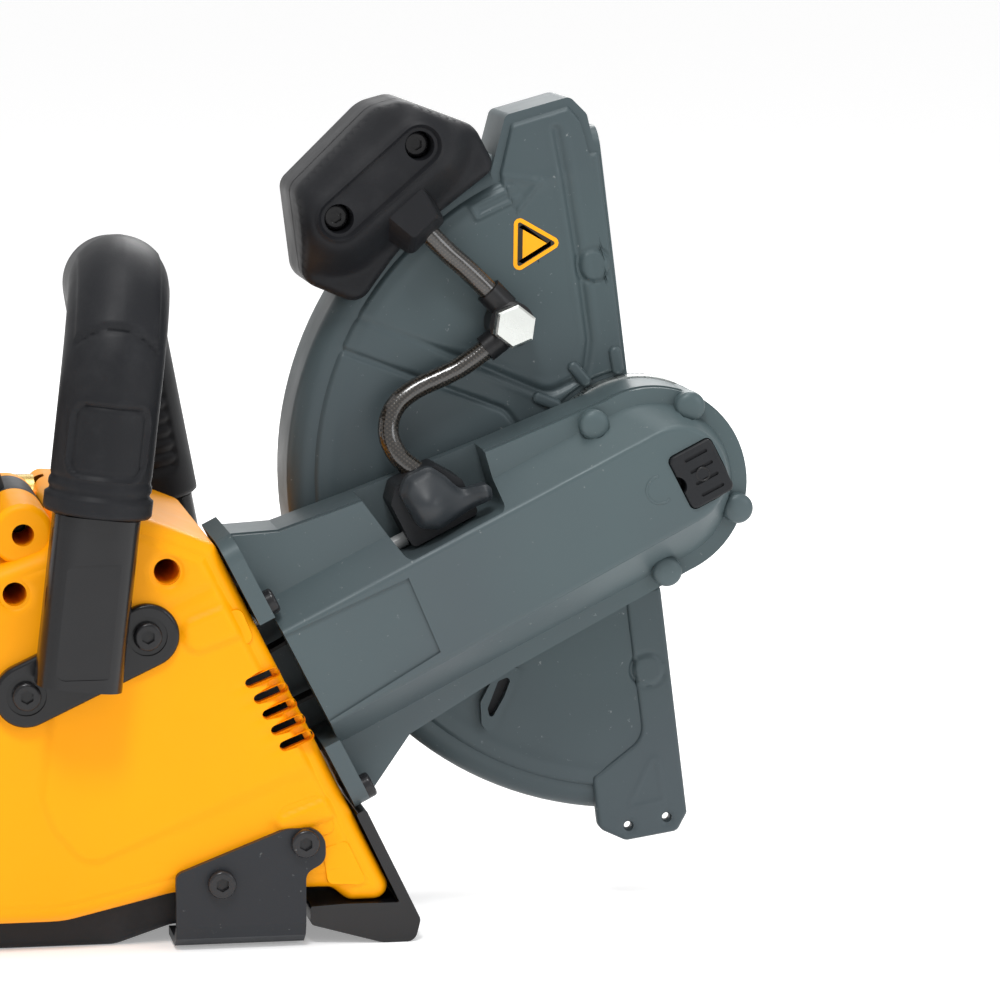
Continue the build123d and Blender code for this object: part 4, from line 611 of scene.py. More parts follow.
CAP_FADE = (184, 187)                                 # the cap runs out between these lengths along the tube
SEAM_HEIGHT, SEAM_WIDTH = 0.16, 0.45                  # the parting line along the grip's front
FLASH_HEIGHT, FLASH_WIDTH, FLASH_OFF = 0.14, 0.4, 1.5 # a fine line up the outer face, a little off its middle
FLASH_FADE = (36, 38)


def bent_line(points, bend, step):
    """Even points along straight runs and arcs, and the whole line's length."""
    corners = [Vector(p) for p in points]
    line = [corners[0]]
    arc_steps = 24
    for a, p, b in zip(corners, corners[1:], corners[2:]):
        into, out = (a - p).normalized(), (b - p).normalized()
        half = into.angle(out) / 2
        reach = bend / tan(half)
        middle = p + (into + out).normalized() * (bend / sin(half))
        start, end = p + into * reach - middle, p + out * reach - middle
        line += [middle + start.slerp(end, k / arc_steps).normalized() * bend for k in range(arc_steps + 1)]
    line.append(corners[-1])
    lengths = [0]
    for a, b in zip(line, line[1:]):
        lengths.append(lengths[-1] + (b - a).length)
    out, at, i = [], 0, 0
    while at < lengths[-1]:
        while lengths[i + 1] < at:
            i += 1
        share = (at - lengths[i]) / (lengths[i + 1] - lengths[i])
        out.append(line[i].lerp(line[i + 1], share))
        at += step
    return out, lengths[-1]


def arc_from(angle, middle):
    """The length round the grip from the line at angle middle, from minus to plus half a turn."""
    return GRIP_R * ((angle - middle + pi) % (2 * pi) - pi)


def front_grip():
    """The grip's skin, as rings along the handle with its panels, seams and ribs as changes of radius."""
    step, sides = 1.0, 120
    line, total = bent_line(HANDLE_PATH, HANDLE_BEND, step)
    last = total - GRIP_STOP
    rings = []
    for i, p in enumerate(line):
        s = i * step
        if s < GRIP_START or s > last:
            continue
        along = (line[min(i + 1, len(line) - 1)] - line[max(i - 1, 0)]).normalized()
        front = (Vector((1, 0, 0)) - along * along.x).normalized()
        inward = along.cross(front)
        up = s - GRIP_START
        ring = []
        for k in range(sides):
            a = 2 * pi * k / sides
            outer_arc = arc_from(a, -pi / 2)        # round from the outermost line
            inner_arc = arc_from(a, pi / 2)         # round from the innermost line
            seam_arc = arc_from(a, 0)               # round from the front line
            r = GRIP_R - GRIP_SINK + collars(up) + end_round(up) + end_round(last - s)
            r += SEAM_HEIGHT * ridge(seam_arc, SEAM_WIDTH)
            if s < total / 2:
                r += thumb_frame(outer_arc, up) + cap(outer_arc, s)
                r += FLASH_HEIGHT * ridge(outer_arc - FLASH_OFF, FLASH_WIDTH) * smoothstep(*FLASH_FADE, up)
            else:
                r += ribs(inner_arc, last - s)
            ring.append((p + (front * cos(a) + inward * sin(a)) * r) * MM)
        rings.append(ring)
    verts, faces = loft(rings)
    piece("front_grip_rubber", verts, faces, "grip_rubber", "saw", ["front_handle_grip"], sharp=60)


def collars(h):
    """The two rings moulded round the grip's lower end; h is the height over that end."""
    rings = sum(height * (1 - smoothstep(low, high, h)) for low, high, height in COLLARS)
    return rings - sum(depth * ridge(h - at, width) for at, depth, width in COLLAR_GROOVES)


def end_round(h):
    """The rounding of the grip's end, at a distance h from it."""
    return -1.5 * smoothstep(1.6, 0, h) ** 2


def thumb_frame(x, h):
    """A sunk panel with a rounded frame, low on the outer face."""
    middle, *sizes = THUMB_PANEL
    edge = frame_distance(x, h - middle, *sizes)
    return 0.5 * ridge(edge - 1.3, 1.0) - 1.1 * ridge(edge, 0.6) - 0.55 * smoothstep(0.4, -0.8, edge)


def cap(x, s):
    """The separate cap over the right bend, with an arched lower edge."""
    edge = s - CAP_START + CAP_ARCH * x * x
    side = smoothstep(CAP_HALF, CAP_HALF - 1.5, abs(x))
    raised_share = smoothstep(0, 1.2, edge) * (1 - smoothstep(*CAP_FADE, s))
    return side * (0.55 * raised_share - 1.1 * ridge(edge, 0.55))


def ribs(x, h):
    """Cross ribs in a sunk panel on the inner face of the left leg."""
    middle, *sizes = RIB_PANEL
    edge = frame_distance(x, h - middle, *sizes)
    inside_panel = smoothstep(0.5, -1.2, edge)
    wave = (0.5 + 0.5 * cos(2 * pi * h / RIB_PITCH)) ** 0.6
    return inside_panel * (RIB_DEPTH * wave - RIB_DEPTH) - 0.35 * ridge(edge, 0.6)


def frame_distance(x, y, half_x, half_y, corner):
    """Signed distance to a rounded rectangle's edge, negative inside."""
    dx, dy = abs(x) - half_x + corner, abs(y) - half_y + corner
    return hypot(max(dx, 0), max(dy, 0)) + min(max(dx, dy), 0) - corner


front_grip()

# ---- guard's grip ----------------------------------------------------------------------------------
GUARD_R = 126                                         # the guard's rim round the wheel axis
GRIP_LINE = [(-112, 120), (-80, 144.5), (-69, 146), (-44, 133), (-38, 117), (-60, 104), (-77, 92), (-93, 75),
             (-112, 86)]
GRIP_RADII = [6, 14, 8, 10, 5, 30, 30, 7, 8]
GRIP_SCREWS = [(-67, 130), (-98.7, 108.3)]
PANEL_R, SCREW_HOLE_R = 7.6, 5.3
HOLE_SIDES = 40
GRIP_BASE, GRIP_TOP, GRIP_FLOOR = -22.8, -39.2, -26.2     # the flange, the crown and the screw holes' floor
GRIP_EDGE_ROUND = 3.5
HILL_REACH = 23                                       # how far from the screw line the crown falls away
BOOT_FOOT = [(-89, 104.5), (-66, 120), (-59.5, 101), (-73, 90.5)]
BOOT_TOP = [(-83.5, 108), (-68.5, 118), (-63, 104), (-73, 96.5)]
BOOT_BASE, BOOT_SHOULDER, BOOT_RIM, BOOT_FACE = -14, -26, -35.4, -36.2
WALL_RING = -16                                       # a ring partway down the grip's side wall
WRAP_BACK, WRAP_EDGE = 15, 1                          # the wrap's left face and its chamfer


def segment_distance(x, z, a, b):
    """Distance from a point to the straight line from a to b."""
    dx, dz = b[0] - a[0], b[1] - a[1]
    t = min(1, max(0, ((x - a[0]) * dx + (z - a[1]) * dz) / (dx * dx + dz * dz)))
    return hypot(x - a[0] - t * dx, z - a[1] - t * dz)


def line_distance(x, z, points):
    return min(segment_distance(x, z, a, b) for a, b in zip(points, points[1:]))


def refined(outline, step):
    """The closed outline with points no further apart than step."""
    out = []
    for a, b in zip(outline, outline[1:] + outline[:1]):
        count = max(1, int((b - a).length / step))
        out += [a.lerp(b, k / count) for k in range(count)]
    return out


def grid_inside(outer, holes, step, margin, low_x=-1e9, high_x=1e9):
    """A staggered grid of points inside an outline, clear of its edge and of its holes by margin."""
    closed = outer + [outer[0]]
    rings = []
    for hole in holes:
        middle = sum(hole, Vector((0, 0))) / len(hole)
        rings.append((middle, max((p - middle).length for p in hole) + margin, hole + [hole[0]]))
    low_x, high_x = max(low_x, min(p.x for p in outer)), min(high_x, max(p.x for p in outer))
    low_z, high_z = min(p.y for p in outer), max(p.y for p in outer)
    row_step = step * 0.87

    def clear(p, middle, reach, ring):
        if (p - middle).length > reach:
            return True
        return not inside(p.x, p.y, ring) and line_distance(p.x, p.y, ring) > margin

    out = []
    for row in range(int((high_z - low_z) / row_step)):
        z = low_z + (row + 0.5) * row_step
        x = low_x + (row % 2) * step / 2
        while x < high_x:
            p = Vector((x, z))
            if (inside(x, z, outer) and line_distance(x, z, closed) > margin
                    and all(clear(p, *ring) for ring in rings)):
                out.append(p)
            x += step
    return out


def grip_height(x, z, outline):
    """Depth in Y of the grip's front: a crowned body round the screw panel, on a flat flange."""
    d = segment_distance(x, z, *GRIP_SCREWS)
    hill = 1 - smoothstep(PANEL_R + 0.5, HILL_REACH, d)
    y = GRIP_BASE + (GRIP_TOP + 0.9 - GRIP_BASE) * hill ** 0.8
    y -= 1.1 * ridge(d - PANEL_R, 0.75)                               # lip round the panel
    y += 0.9 * smoothstep(PANEL_R - 0.2, PANEL_R - 1.2, d)            # the panel is sunk a little
    edge = line_distance(x, z, outline + [outline[0]])
    if edge < GRIP_EDGE_ROUND:
        y += GRIP_EDGE_ROUND - sqrt(GRIP_EDGE_ROUND ** 2 - (GRIP_EDGE_ROUND - edge) ** 2)
    return y


def guard_grip():
    """The rubber grip on the guard's rim, with its screw holes, and the part that wraps over the rim."""
    outline = rounded(GRIP_LINE, GRIP_RADII, steps=10)
    fine = refined(outline, 1.6)
    holes = [circle(x, z, SCREW_HOLE_R, HOLE_SIDES) for x, z in GRIP_SCREWS]
    extra = [p for step in (0.5, 1.0, 1.7, 2.6, 3.6) for p in inset(fine, step)[::2]]
    low, high = Vector(GRIP_SCREWS[1]), Vector(GRIP_SCREWS[0])
    middle, along = (low + high) / 2, high - low
    lean = atan2(along.y, along.x)
    for step in (-2.0, -1.2, -0.6, 0, 0.5, 1.0, 1.6, 2.4):
        r = PANEL_R + step
        slot = stadium(middle.x, middle.y, along.length + 2 * r, 2 * r, lean, 18)
        extra += [p for p in refined(slot, 1.5)
                  if all((p - Vector(centre)).length > SCREW_HOLE_R + 0.3 for centre in GRIP_SCREWS)]
    grid = [p for p in grid_inside(outline, holes, 1.4, 4.2)
            if not PANEL_R - 2.6 < segment_distance(p.x, p.y, *GRIP_SCREWS) < PANEL_R + 3]
    flat, faces = filled(fine, holes, extra + grid)
    parts = [([on_guard(p.x, p.y, grip_height(p.x, p.y, fine)) for p in flat], faces)]
    # side wall down to the guard's face
    heights = [grip_height(p.x, p.y, fine) for p in fine]
    parts.append(loft([[on_guard(p.x, p.y, y) for p, y in zip(fine, heights)],
                       [on_guard(p.x, p.y, WALL_RING) for p in fine],
                       [on_guard(p.x, p.y, GUARD_SIDE + 0.5) for p in fine]], cap_start=False))
    # part that wraps over the guard's rim
    outer = [p for p in fine if p.length > GUARD_R + 0.4]
    low, high = min(atan2(p.y, p.x) for p in outer), max(atan2(p.y, p.x) for p in outer)
    wrap = []
    for p in fine:
        angle = min(high, max(low, atan2(p.y, p.x)))
        r = max(p.length, GUARD_R + 0.4)
        wrap.append(Vector((r * cos(angle), r * sin(angle))))
    cuts = [(WRAP_EDGE, WRAP_BACK), (0, WRAP_BACK - WRAP_EDGE), (0, GUARD_SIDE - 2)]
    parts.append(loft([[on_guard(p.x, p.y, y) for p in inset(wrap, cut)] for cut, y in cuts]))
    for (x, z), hole in zip(GRIP_SCREWS, holes):
        rings = [[on_guard(p.x, p.y, grip_height(p.x, p.y, fine)) for p in hole]]
        below_lip = grip_height(x + SCREW_HOLE_R, z, fine) + 0.6
        for r, y in ((SCREW_HOLE_R - 0.2, below_lip), (SCREW_HOLE_R - 0.3, GRIP_FLOOR)):
            rings.append([on_guard(p.x, p.y, y) for p in circle(x, z, r, HOLE_SIDES)])
        parts.append(loft(rings, cap_start=False, cap_end=False))
    piece("guard_grip_rubber", *join(parts), "grip_rubber", "guard", ["guard_grip"], sharp=48)


def hose_boot():
    """The faceted boot that holds the upper hose at the grip."""
    low_shape, high_shape = rounded(BOOT_FOOT, 3), rounded(BOOT_TOP, 2)
    shapes = [(low_shape, BOOT_BASE), (low_shape, BOOT_SHOULDER), (high_shape, BOOT_RIM),
              (inset(high_shape, BOOT_RIM - BOOT_FACE), BOOT_FACE)]
    rings = [[on_guard(p.x, p.y, y) for p in shape] for shape, y in shapes]
    piece("hose_boot", *loft(rings), "grip_rubber", "guard", sharp=28)


guard_grip()
hose_boot()

# ---- hoses -----------------------------------------------------------------------------------------
HOSE_R = 3.8
UPPER_HOSE = [(-67, 99.5, -24), (-61, 91, -23.4), (-53, 82.5, -22.6), (-46.5, 74, -22)]
LOWER_HOSE = [(-50.3, 53, -22), (-58, 48.5, -22), (-67, 45.5, -22.2), (-77, 43, -22.8), (-86, 38, -23.8),
              (-90, 29, -25.6), (-87.5, 20, -28), (-81.5, 14, -30.6), (-76.5, 10.2, -32)]

verts, faces, _ = swept([on_guard(*p) for p in UPPER_HOSE], HOSE_R)
piece("upper_water_hose", verts, faces, "hose", "guard", ["upper_hose"])
verts, faces, line = swept([on_guard(*p) for p in LOWER_HOSE], HOSE_R)
lower = piece("lower_water_hose", verts, faces, "hose", None, ["lower_hose"])
hose_length = sum((b - a).length for a, b in zip(line, line[1:]))
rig.blend(lower, "saw", "guard", start=line[-1], end=line[0])
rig.cord(lower, exit=line[-1], length=round(hose_length, 4), diameter=2 * HOSE_R * MM, far_end="object",
        stiffness="medium", lay="loose", path=line)

# ---- guard's pressed face --------------------------------------------------------------------------
BORDER = rounded([(-13.5, 127), (-12.3, 108.4), (-11.5, 87.6), (-11, 72.2), (-10.7, 50), (-14, 37),
                  (-28, 32.5), (-50.9, 46), (-124, 87)], 9, closed=False)
GROOVE = rounded([(-128, 73.6), (-74.9, 45.4), (-44, 29), (-36, 14)], 9, closed=False)
# The top corner stands out past the round rim.
TOP_END = [(-36, 114), (-29.5, 131.5), (-8, 135), (-4.2, 129.3), (-0.5, 100)]
EMBOSS_R = 5.4
EMBOSSES = [(-5.6, 76.5), (-3.6, -73.2)]
ARROW = [[(-46, 99.3), (-30.5, 104.4)], [(-47.6, 103.5), (-32, 108.6)], [(-46, 99.3), (-47.6, 103.5)],
         [(-30.5, 100.8), (-22, 109.4)], [(-22, 109.4), (-34, 112.4)]]
FACE_LIFT = 1.5                                       # the pressed skin stands this far over the sheet
FACE_INNER, FACE_OUTER = 36.6, 117.2                  # the hub's and the rim's radii
FACE_FRONT = 1.6                                      # the straight front edge
SWELL_R = 111.5                                       # a low swell runs inside the rim


def face_reach(angle):
    """How far the pressed face reaches from the wheel axis along an angle."""
    direction = Vector((cos(angle), sin(angle)))
    reach = FACE_OUTER
    for a, b in zip(TOP_END, TOP_END[1:]):
        a, b = Vector(a), Vector(b)
        across = b - a
        turn = direction.x * across.y - direction.y * across.x
        if abs(turn) < 1e-9:
            continue
        s = (a.x * across.y - a.y * across.x) / turn
        t = (a.x * direction.y - a.y * direction.x) / turn
        if 0 <= t <= 1 and s > reach:
            reach = s
    return reach


def guard_height(x, z):
    """Height of the pressed face over the sheet, from its grooves, embosses and arrow."""
    h = FACE_LIFT
    # the border's groove grows deeper towards the front, with a low lip beside it
    d = line_distance(x, z, BORDER)
    h -= (0.55 + 0.7 * smoothstep(-75, -55, x)) * ridge(d, 1.25)
    h += 0.25 * ridge(d - 3.0, 1.3) * smoothstep(-75, -50, x)
    h -= 1.25 * ridge(line_distance(x, z, GROOVE), 1.1)
    for emboss_x, emboss_z in EMBOSSES:
        d = hypot(x - emboss_x, z - emboss_z)
        h += 0.6 * smoothstep(EMBOSS_R + 0.3, EMBOSS_R - 0.6, d)
        h -= 0.9 * ridge(d - EMBOSS_R - 0.7, 0.7)
    # the arrow lies within this window, so it is worked out only there
    if -52 < x < -18 and 96 < z < 116:
        h += 1.1 * ridge(min(segment_distance(x, z, a, b) for a, b in ARROW), 1.1)
    h += 0.35 * ridge(hypot(x, z) - SWELL_R, 2.5) * smoothstep(0, -14, x)
    return h


def face_radius(angle, share):
    """A share of the way from the hub to the face's edge."""
    return FACE_INNER + (face_reach(angle) - FACE_INNER) * share


def guard_face():
    """Rings that run from the straight front edge at the top, round the rear, to the front edge below."""
    rings, turns = 112, 460
    grid = []
    for i in range(rings + 1):
        share = i / rings
        row = []
        for k in range(turns + 1):
            t = k / turns
            start = pi / 2 - atan2(FACE_FRONT, face_radius(pi / 2 + pi * t, share))
            angle = start + (2 * pi - 2 * start) * t
            r = face_radius(angle, share)
            x, z = min(FACE_FRONT, r * cos(angle)), r * sin(angle)
            edge = min(face_reach(angle) - r, (FACE_FRONT - x) * 1.2 + 0.01, r - FACE_INNER)
            h = guard_height(x, z) - (FACE_LIFT + 0.35) * (1 - smoothstep(0, 1.6, edge))
            row.append(on_guard(x, z, GUARD_SIDE - h))
        grid.append(row)
    verts, faces = loft(grid, False, False, closed=False)
    piece("guard_face", verts, faces, "guard_grey", "guard", sharp=80)


TAB_LINE = [(-28.6, -110), (-28.6, -129.3), (-19.2, -135.2), (0.2, -134.6), (4.6, -128.4), (4.6, -43.5),
            (-8.6, -43.5), (-8.3, -98)]
TAB_RADII = [2, 4, 4, 3, 2, 1, 1, 9]
TAB_HOLES = [(-17.5, -130), (-3, -129)]
TAB_HOLE_R = 1.9
TAB_MARK = rounded([(-4.2, -103.5), (-3.6, -122.4), (-17.5, -123.4)], 1.2)
TAB_LIFT = 2.5
SHEET_BACK = GUARD_SIDE + 2.6                         # side walls end this deep, below the sheet's face


def tab_face():
    """The flat tab that carries the guard's lower stop, one step over the pressed face."""
    outline = rounded(TAB_LINE, TAB_RADII, steps=8)
    fine = refined(outline, 1.3)
    holes = [circle(x, z, TAB_HOLE_R, 24) for x, z in TAB_HOLES]
    rims = [p for step in (0.4, 0.9, 1.5) for p in inset(fine, step)]
    around = [p for x, z in TAB_HOLES for cut in (0.4, 0.9) for p in circle(x, z, TAB_HOLE_R + cut, 24)]
    grid = grid_inside(outline, holes, 1.1, 2.2)
    flat, faces = filled(fine, holes, rims + around + grid)
    mark = TAB_MARK + [TAB_MARK[0]]
    top = []
    for p in flat:
        edge = line_distance(p.x, p.y, fine + [fine[0]])
        h = TAB_LIFT - 0.8 * (1 - smoothstep(0, 1.2, edge)) ** 2
        h += 0.4 * ridge(line_distance(p.x, p.y, mark), 0.6)
        d = hypot(p.x - EMBOSSES[1][0], p.y - EMBOSSES[1][1])
        h += 0.5 * smoothstep(EMBOSS_R + 0.3, EMBOSS_R - 0.5, d)
        h -= 0.35 * ridge(d - EMBOSS_R - 0.8, 0.6)
        h -= 0.5 * max((1 - smoothstep(2.0, 3.0, hypot(p.x - x, p.y - z)) for x, z in TAB_HOLES))
        top.append(on_guard(p.x, p.y, GUARD_SIDE - h))
    parts = [(top, faces), wall(on_guard, fine, GUARD_SIDE - TAB_LIFT + 0.8, SHEET_BACK)]
    parts += [wall(on_guard, hole, GUARD_SIDE - TAB_LIFT + 0.5, SHEET_BACK) for hole in holes]
    piece("guard_tab_face", *join(parts), "guard_grey", "guard", sharp=50)


RIBS = [((-1.5, 37.4), (-1.9, 45)), ((-13.6, 34.9), (-18, 41.5)), ((-25.2, 27.9), (-32.5, 32))]
RIB_WIDTH, RIB_HEIGHT = 4.6, 3.2
HOOK_LINE = [(-67.4, -83.4), (-66.9, -75.3), (-61, -66.8), (-55, -63.6), (-50, -65.5), (-54.8, -73.4),
             (-61.7, -84.6), (-65.5, -87)]
HOOK_HOLE = [(-64.6, -78), (-59.5, -68.5), (-54, -67), (-58, -74.5), (-64, -82.5)]
HOOK_TOP = GUARD_SIDE - 5
SIGN_CORNERS = [(-32.5, 99), (-15.5, 86.2), (-35.5, 77.2)]
# Each layer of the plain triangle has its inset, its height over the skin and its material.
SIGN_LAYERS = [(0, 0.18, "sticker_yellow"), (1.5, 0.3, "sticker_black"), (3.3, 0.4, "sticker_yellow")]


def hub_ribs():
    """Short ribs that run out from the hub."""
    parts = []
    for start, end in RIBS:
        a, b = Vector(start), Vector(end)
        middle, angle = (a + b) / 2, atan2(b.y - a.y, b.x - a.x)
        shape = stadium(middle.x, middle.y, (b - a).length + 3, RIB_WIDTH, angle)
        parts.append(pad(on_guard, shape, GUARD_SIDE, RIB_HEIGHT, 1.6))
    piece("guard_hub_ribs", *join(parts), "guard_grey", "guard", sharp=50)


def guard_hook():
    """The open hook below the arm, with a black plug in its hole as painted shade."""
    outer, hole = rounded(HOOK_LINE, 2.6), rounded(HOOK_HOLE, 1.6)
    flat, faces = filled(outer, [hole])
    parts = [([on_guard(p.x, p.y, HOOK_TOP) for p in flat], faces),
             wall(on_guard, outer, GUARD_SIDE + 1, HOOK_TOP),
             wall(on_guard, hole, GUARD_SIDE - 0.1, HOOK_TOP)]
    piece("guard_hook", *join(parts), "guard_grey", "guard", sharp=50)
    # painted shade: a black plug fills the hook's hole, where the hollow would look dark
    depths = (GUARD_SIDE + 0.3, GUARD_SIDE - FACE_LIFT - 0.25)
    rings = [[on_guard(p.x, p.y, y) for p in inset(hole, -0.2)] for y in depths]
    piece("guard_hook_painted_shade", *loft(rings), "black_plastic", "guard")


def plain_sign():
    """A plain two-tone triangle on the pressed face."""
    for k, (cut, height, material) in enumerate(SIGN_LAYERS):
        outline = inset(rounded(SIGN_CORNERS, 2.2), cut)
        rings = [[on_guard(p.x, p.y, GUARD_SIDE - y) for p in outline] for y in (0, FACE_LIFT + height)]
        piece(f"sticker_layer_{k + 1}", *loft(rings), material, "guard", slot="guard_grey")


guard_face()
tab_face()
hub_ribs()
guard_hook()
plain_sign()

# ---- body's moulded sides --------------------------------------------------------------------------
BODY_LINE = [(41.3, 144), (16, 154.5), (-13, 157), (-18, 144), (-60, 129), (-190, 119), (-190, 11), (-13, 11),
             (26, 20), (82, 20), (88, 15), (105.3, 15)]
BODY_RADII = [5, 30, 5, 6, 60, 10, 9, 40, 20, 5, 5, 5]
BODY_HALF = 62                                        # the housings' flat sides
SKIN_LIFT, SKIN_INSET = 0.95, 4.3
DETAIL_FROM = -45                                     # behind this X the side is plain
DEEP_HOLES = [(-28.9, 128.7, 4.2), (24, 135.4, 4.4), (-120, 105, 4.2), (-175, 26, 4.2), (-60, 24, 4.2)]
MOTOR_AT = (26.25, 71.47)
BELLY = rounded([(-15, 100), (-20.5, 56), (-16.5, 45), (-5, 31.5), (24, 43.5), (64, 60), (90, 69)], 9,
                closed=False)
BELLY_AREA = BELLY + [Vector((70, 110)), Vector((41, 160)), Vector((-15, 160))]
UPPER_PAD = rounded([(29.4, 117.5), (29.8, 109), (34.3, 106.8), (52.8, 113.3), (49.2, 125)], 2.5)
LOWER_PAD = rounded([(62, 46.5), (63, 41.5), (69.5, 41.6), (84, 47), (81.6, 54)], 2.2)
PAD_HEIGHT, PAD_SOFT = 1.7, 1.8
PAD_DIMPLES = [(28.2, 113.6), (61, 43.4)]
PAD_CREASE = [(24.6, 122.5), (47.3, 132.8)]
PLAIN_MARKS = [rounded([(79.4, 27.5), (83.4, 21.8), (89.9, 20.6), (94.4, 23.9), (93.5, 28.5)], 1),
               rounded([(81.5, 34), (90.5, 31.7), (89, 39.8), (85, 38.5)], 1)]
VENTS = [(57.2 + 3.0 * i, 97 - 5.7 * i) for i in range(5)]
VENT_LEAN = radians(22)
VENT_LENGTH, VENT_WIDTH = 12.9, 3.7


def raised(x, z, outline, height, soft):
    """A pad's height at a point: soft-edged, inside its outline."""
    d = line_distance(x, z, outline + [outline[0]])
    return height * smoothstep(-soft / 2, soft / 2, d if inside(x, z, outline) else -d)


def skin_height(x, z, right):
    """Height of the moulded skin over the housing's flat side; only the right side has pads and vents."""
    h = SKIN_LIFT
    if x > DETAIL_FROM:
        d = line_distance(x, z, BELLY)
        signed = d if inside(x, z, BELLY_AREA) else -d
        crisp = 1.2 + 2.2 * smoothstep(0, 40, x)
        h += 1.4 * smoothstep(-crisp, crisp, signed) - 0.45 * smoothstep(0, -24, signed)
    else:
        h -= 0.45
    if x > 15 and right:
        h += sum(raised(x, z, shape, PAD_HEIGHT, PAD_SOFT) for shape in (UPPER_PAD, LOWER_PAD))
        h -= sum(0.7 * ridge(hypot(x - px, z - pz), 1.9) for px, pz in PAD_DIMPLES)
        h -= 0.9 * ridge(segment_distance(x, z, *PAD_CREASE), 1.3)
        for vx, vz in VENTS:
            end_x, end_z = vx - 5.6 * cos(VENT_LEAN), vz - 5.6 * sin(VENT_LEAN)
            d = segment_distance(x, z, (end_x, end_z), (end_x - 7, end_z - 2.8))
            h -= 0.7 * ridge(d, 1.3) * smoothstep(end_x - 8, end_x, x)
    # the plain marks lie within this window, so they are worked out only there
    if x > 70 and z < 45:
        h += 0.55 * ridge(min(line_distance(x, z, mark + [mark[0]]) for mark in PLAIN_MARKS), 0.55)
    for hx, hz, r in DEEP_HOLES:
        h -= 0.8 * (1 - smoothstep(r + 0.6, r + 2.2, hypot(x - hx, z - hz)))
    return h


def body_side(name, side, holes):
    """A moulded skin over one flat side of the body: side -1 is the right side, 1 the left."""
    outline = inset(rounded(BODY_LINE, BODY_RADII), SKIN_INSET)
    fine = refined(outline, 2)
    rims = [p for step in (0.8, 1.8, 3) for p in inset(fine, step)]
    around = [p for hole in holes for cut in (-0.5, -1.1, -1.8) for p in inset(hole, cut)]
    grid = grid_inside(outline, holes, 1.5, 3, low_x=DETAIL_FROM)
    grid += grid_inside(outline, holes, 5, 3, high_x=DETAIL_FROM - 2)
    flat, faces = filled(fine, holes, [p for p in rims + around if inside(p.x, p.y, outline)] + grid)
    closed = outline + [outline[0]]
    right = side < 0

    def place(p, height):
        return on_side(p.x, p.y, side * (BODY_HALF + height))

    top = []
    for p in flat:
        edge = smoothstep(0, 3.6, line_distance(p.x, p.y, closed))
        top.append(place(p, skin_height(p.x, p.y, right) * edge - 0.5 * (1 - edge)))
    parts = [(top, faces)]
    for hole in holes:
        rings = [[place(p, skin_height(p.x, p.y, right)) for p in hole], [place(p, -2) for p in hole]]
        parts.append(loft(rings, False, False))
    piece(name, *join(parts), "body_yellow", "saw", sharp=50)


def body_sides():
    """The right side has screw holes and vents, the left side has the motor's grille."""
    holes = [circle(x, z, r + 0.35, 28) for x, z, r in DEEP_HOLES]
    holes += [stadium(x, z, VENT_LENGTH, VENT_WIDTH, VENT_LEAN, 10) for x, z in VENTS]
    body_side("right_side_skin", -1, holes)
    grille = []
    for up in (1, -1):
        for row in range(4):
            length = 40.4 - 5 * row
            grille.append(stadium(MOTOR_AT[0], MOTOR_AT[1] + up * (17 + 6 * row), length, 3.6, 0, 10))
    body_side("left_side_skin", 1, grille)


body_sides()

# ---- water valve's thumb lever ---------------------------------------------------------------------
LEVER_LINE = [(-82.6, 41), (-81.8, 27), (-76, 23), (-54, 24.3), (-52.2, 29.8), (-62.5, 31.6), (-65, 38.5),
              (-68.5, 44.8), (-77.5, 45.2)]
LEVER_ROUND = [4, 4, 3, 2.4, 2.4, 4, 4, 4, 4]
LEVER_FACE, LEVER_BACK = -53.2, -47
KNOB_AT, KNOB_HEIGHT, KNOB_REACH = (-75.5, 33), 6.6, 8.5
TIP_HEIGHT, EDGE_DROP = 4.2, 2.6


def valve_lever():
    """A soft-edged thumb lever with a knob over its pivot and a raised tip."""
    outline = rounded(LEVER_LINE, LEVER_ROUND, steps=8)
    fine = refined(outline, 1)
    rims = [p for step in (0.3, 0.7, 1.2, 1.9, 2.8) for p in inset(fine, step)[::2]]
    flat, faces = filled(fine, [], rims + grid_inside(outline, [], 1.1, 3.2))
    closed = outline + [outline[0]]

    def depth(p):
        knob = KNOB_HEIGHT * ridge((p - Vector(KNOB_AT)).length, KNOB_REACH)
        tip = TIP_HEIGHT * smoothstep(-63, -54, p.x)
        edge = line_distance(p.x, p.y, closed)
        return LEVER_FACE - knob - tip + EDGE_DROP * (1 - smoothstep(0, 3, edge)) ** 2

    rings = [[on_arm(p.x, p.y, depth(p)) for p in fine], [on_arm(p.x, p.y, LEVER_BACK) for p in fine]]
    parts = [([on_arm(p.x, p.y, depth(p)) for p in flat], faces), loft(rings, cap_start=False)]
    piece("valve_thumb_lever", *join(parts), "lever_grey", "valve_lever", ["valve_lever"], sharp=45,
          slot="black_plastic")


valve_lever()

# ---- arm's details ---------------------------------------------------------------------------------
BOSSES = [(-9.5, 29.5), (24, 19), (23, -22), (-10, -30)]
BOSS_PROFILE = [(5.4, -44.2), (5.4, -50.6), (5.1, -51.6), (4.3, -52.3), (2.4, -52.7)]     # radius and depth
ARC_MIDDLE, ARC_R, ARC_FROM, ARC_TO = -0.5, 4.9, 70, 290
BUTTON_RING = (15.6, -2, 2.3)
BUTTON_FACE = -63.3


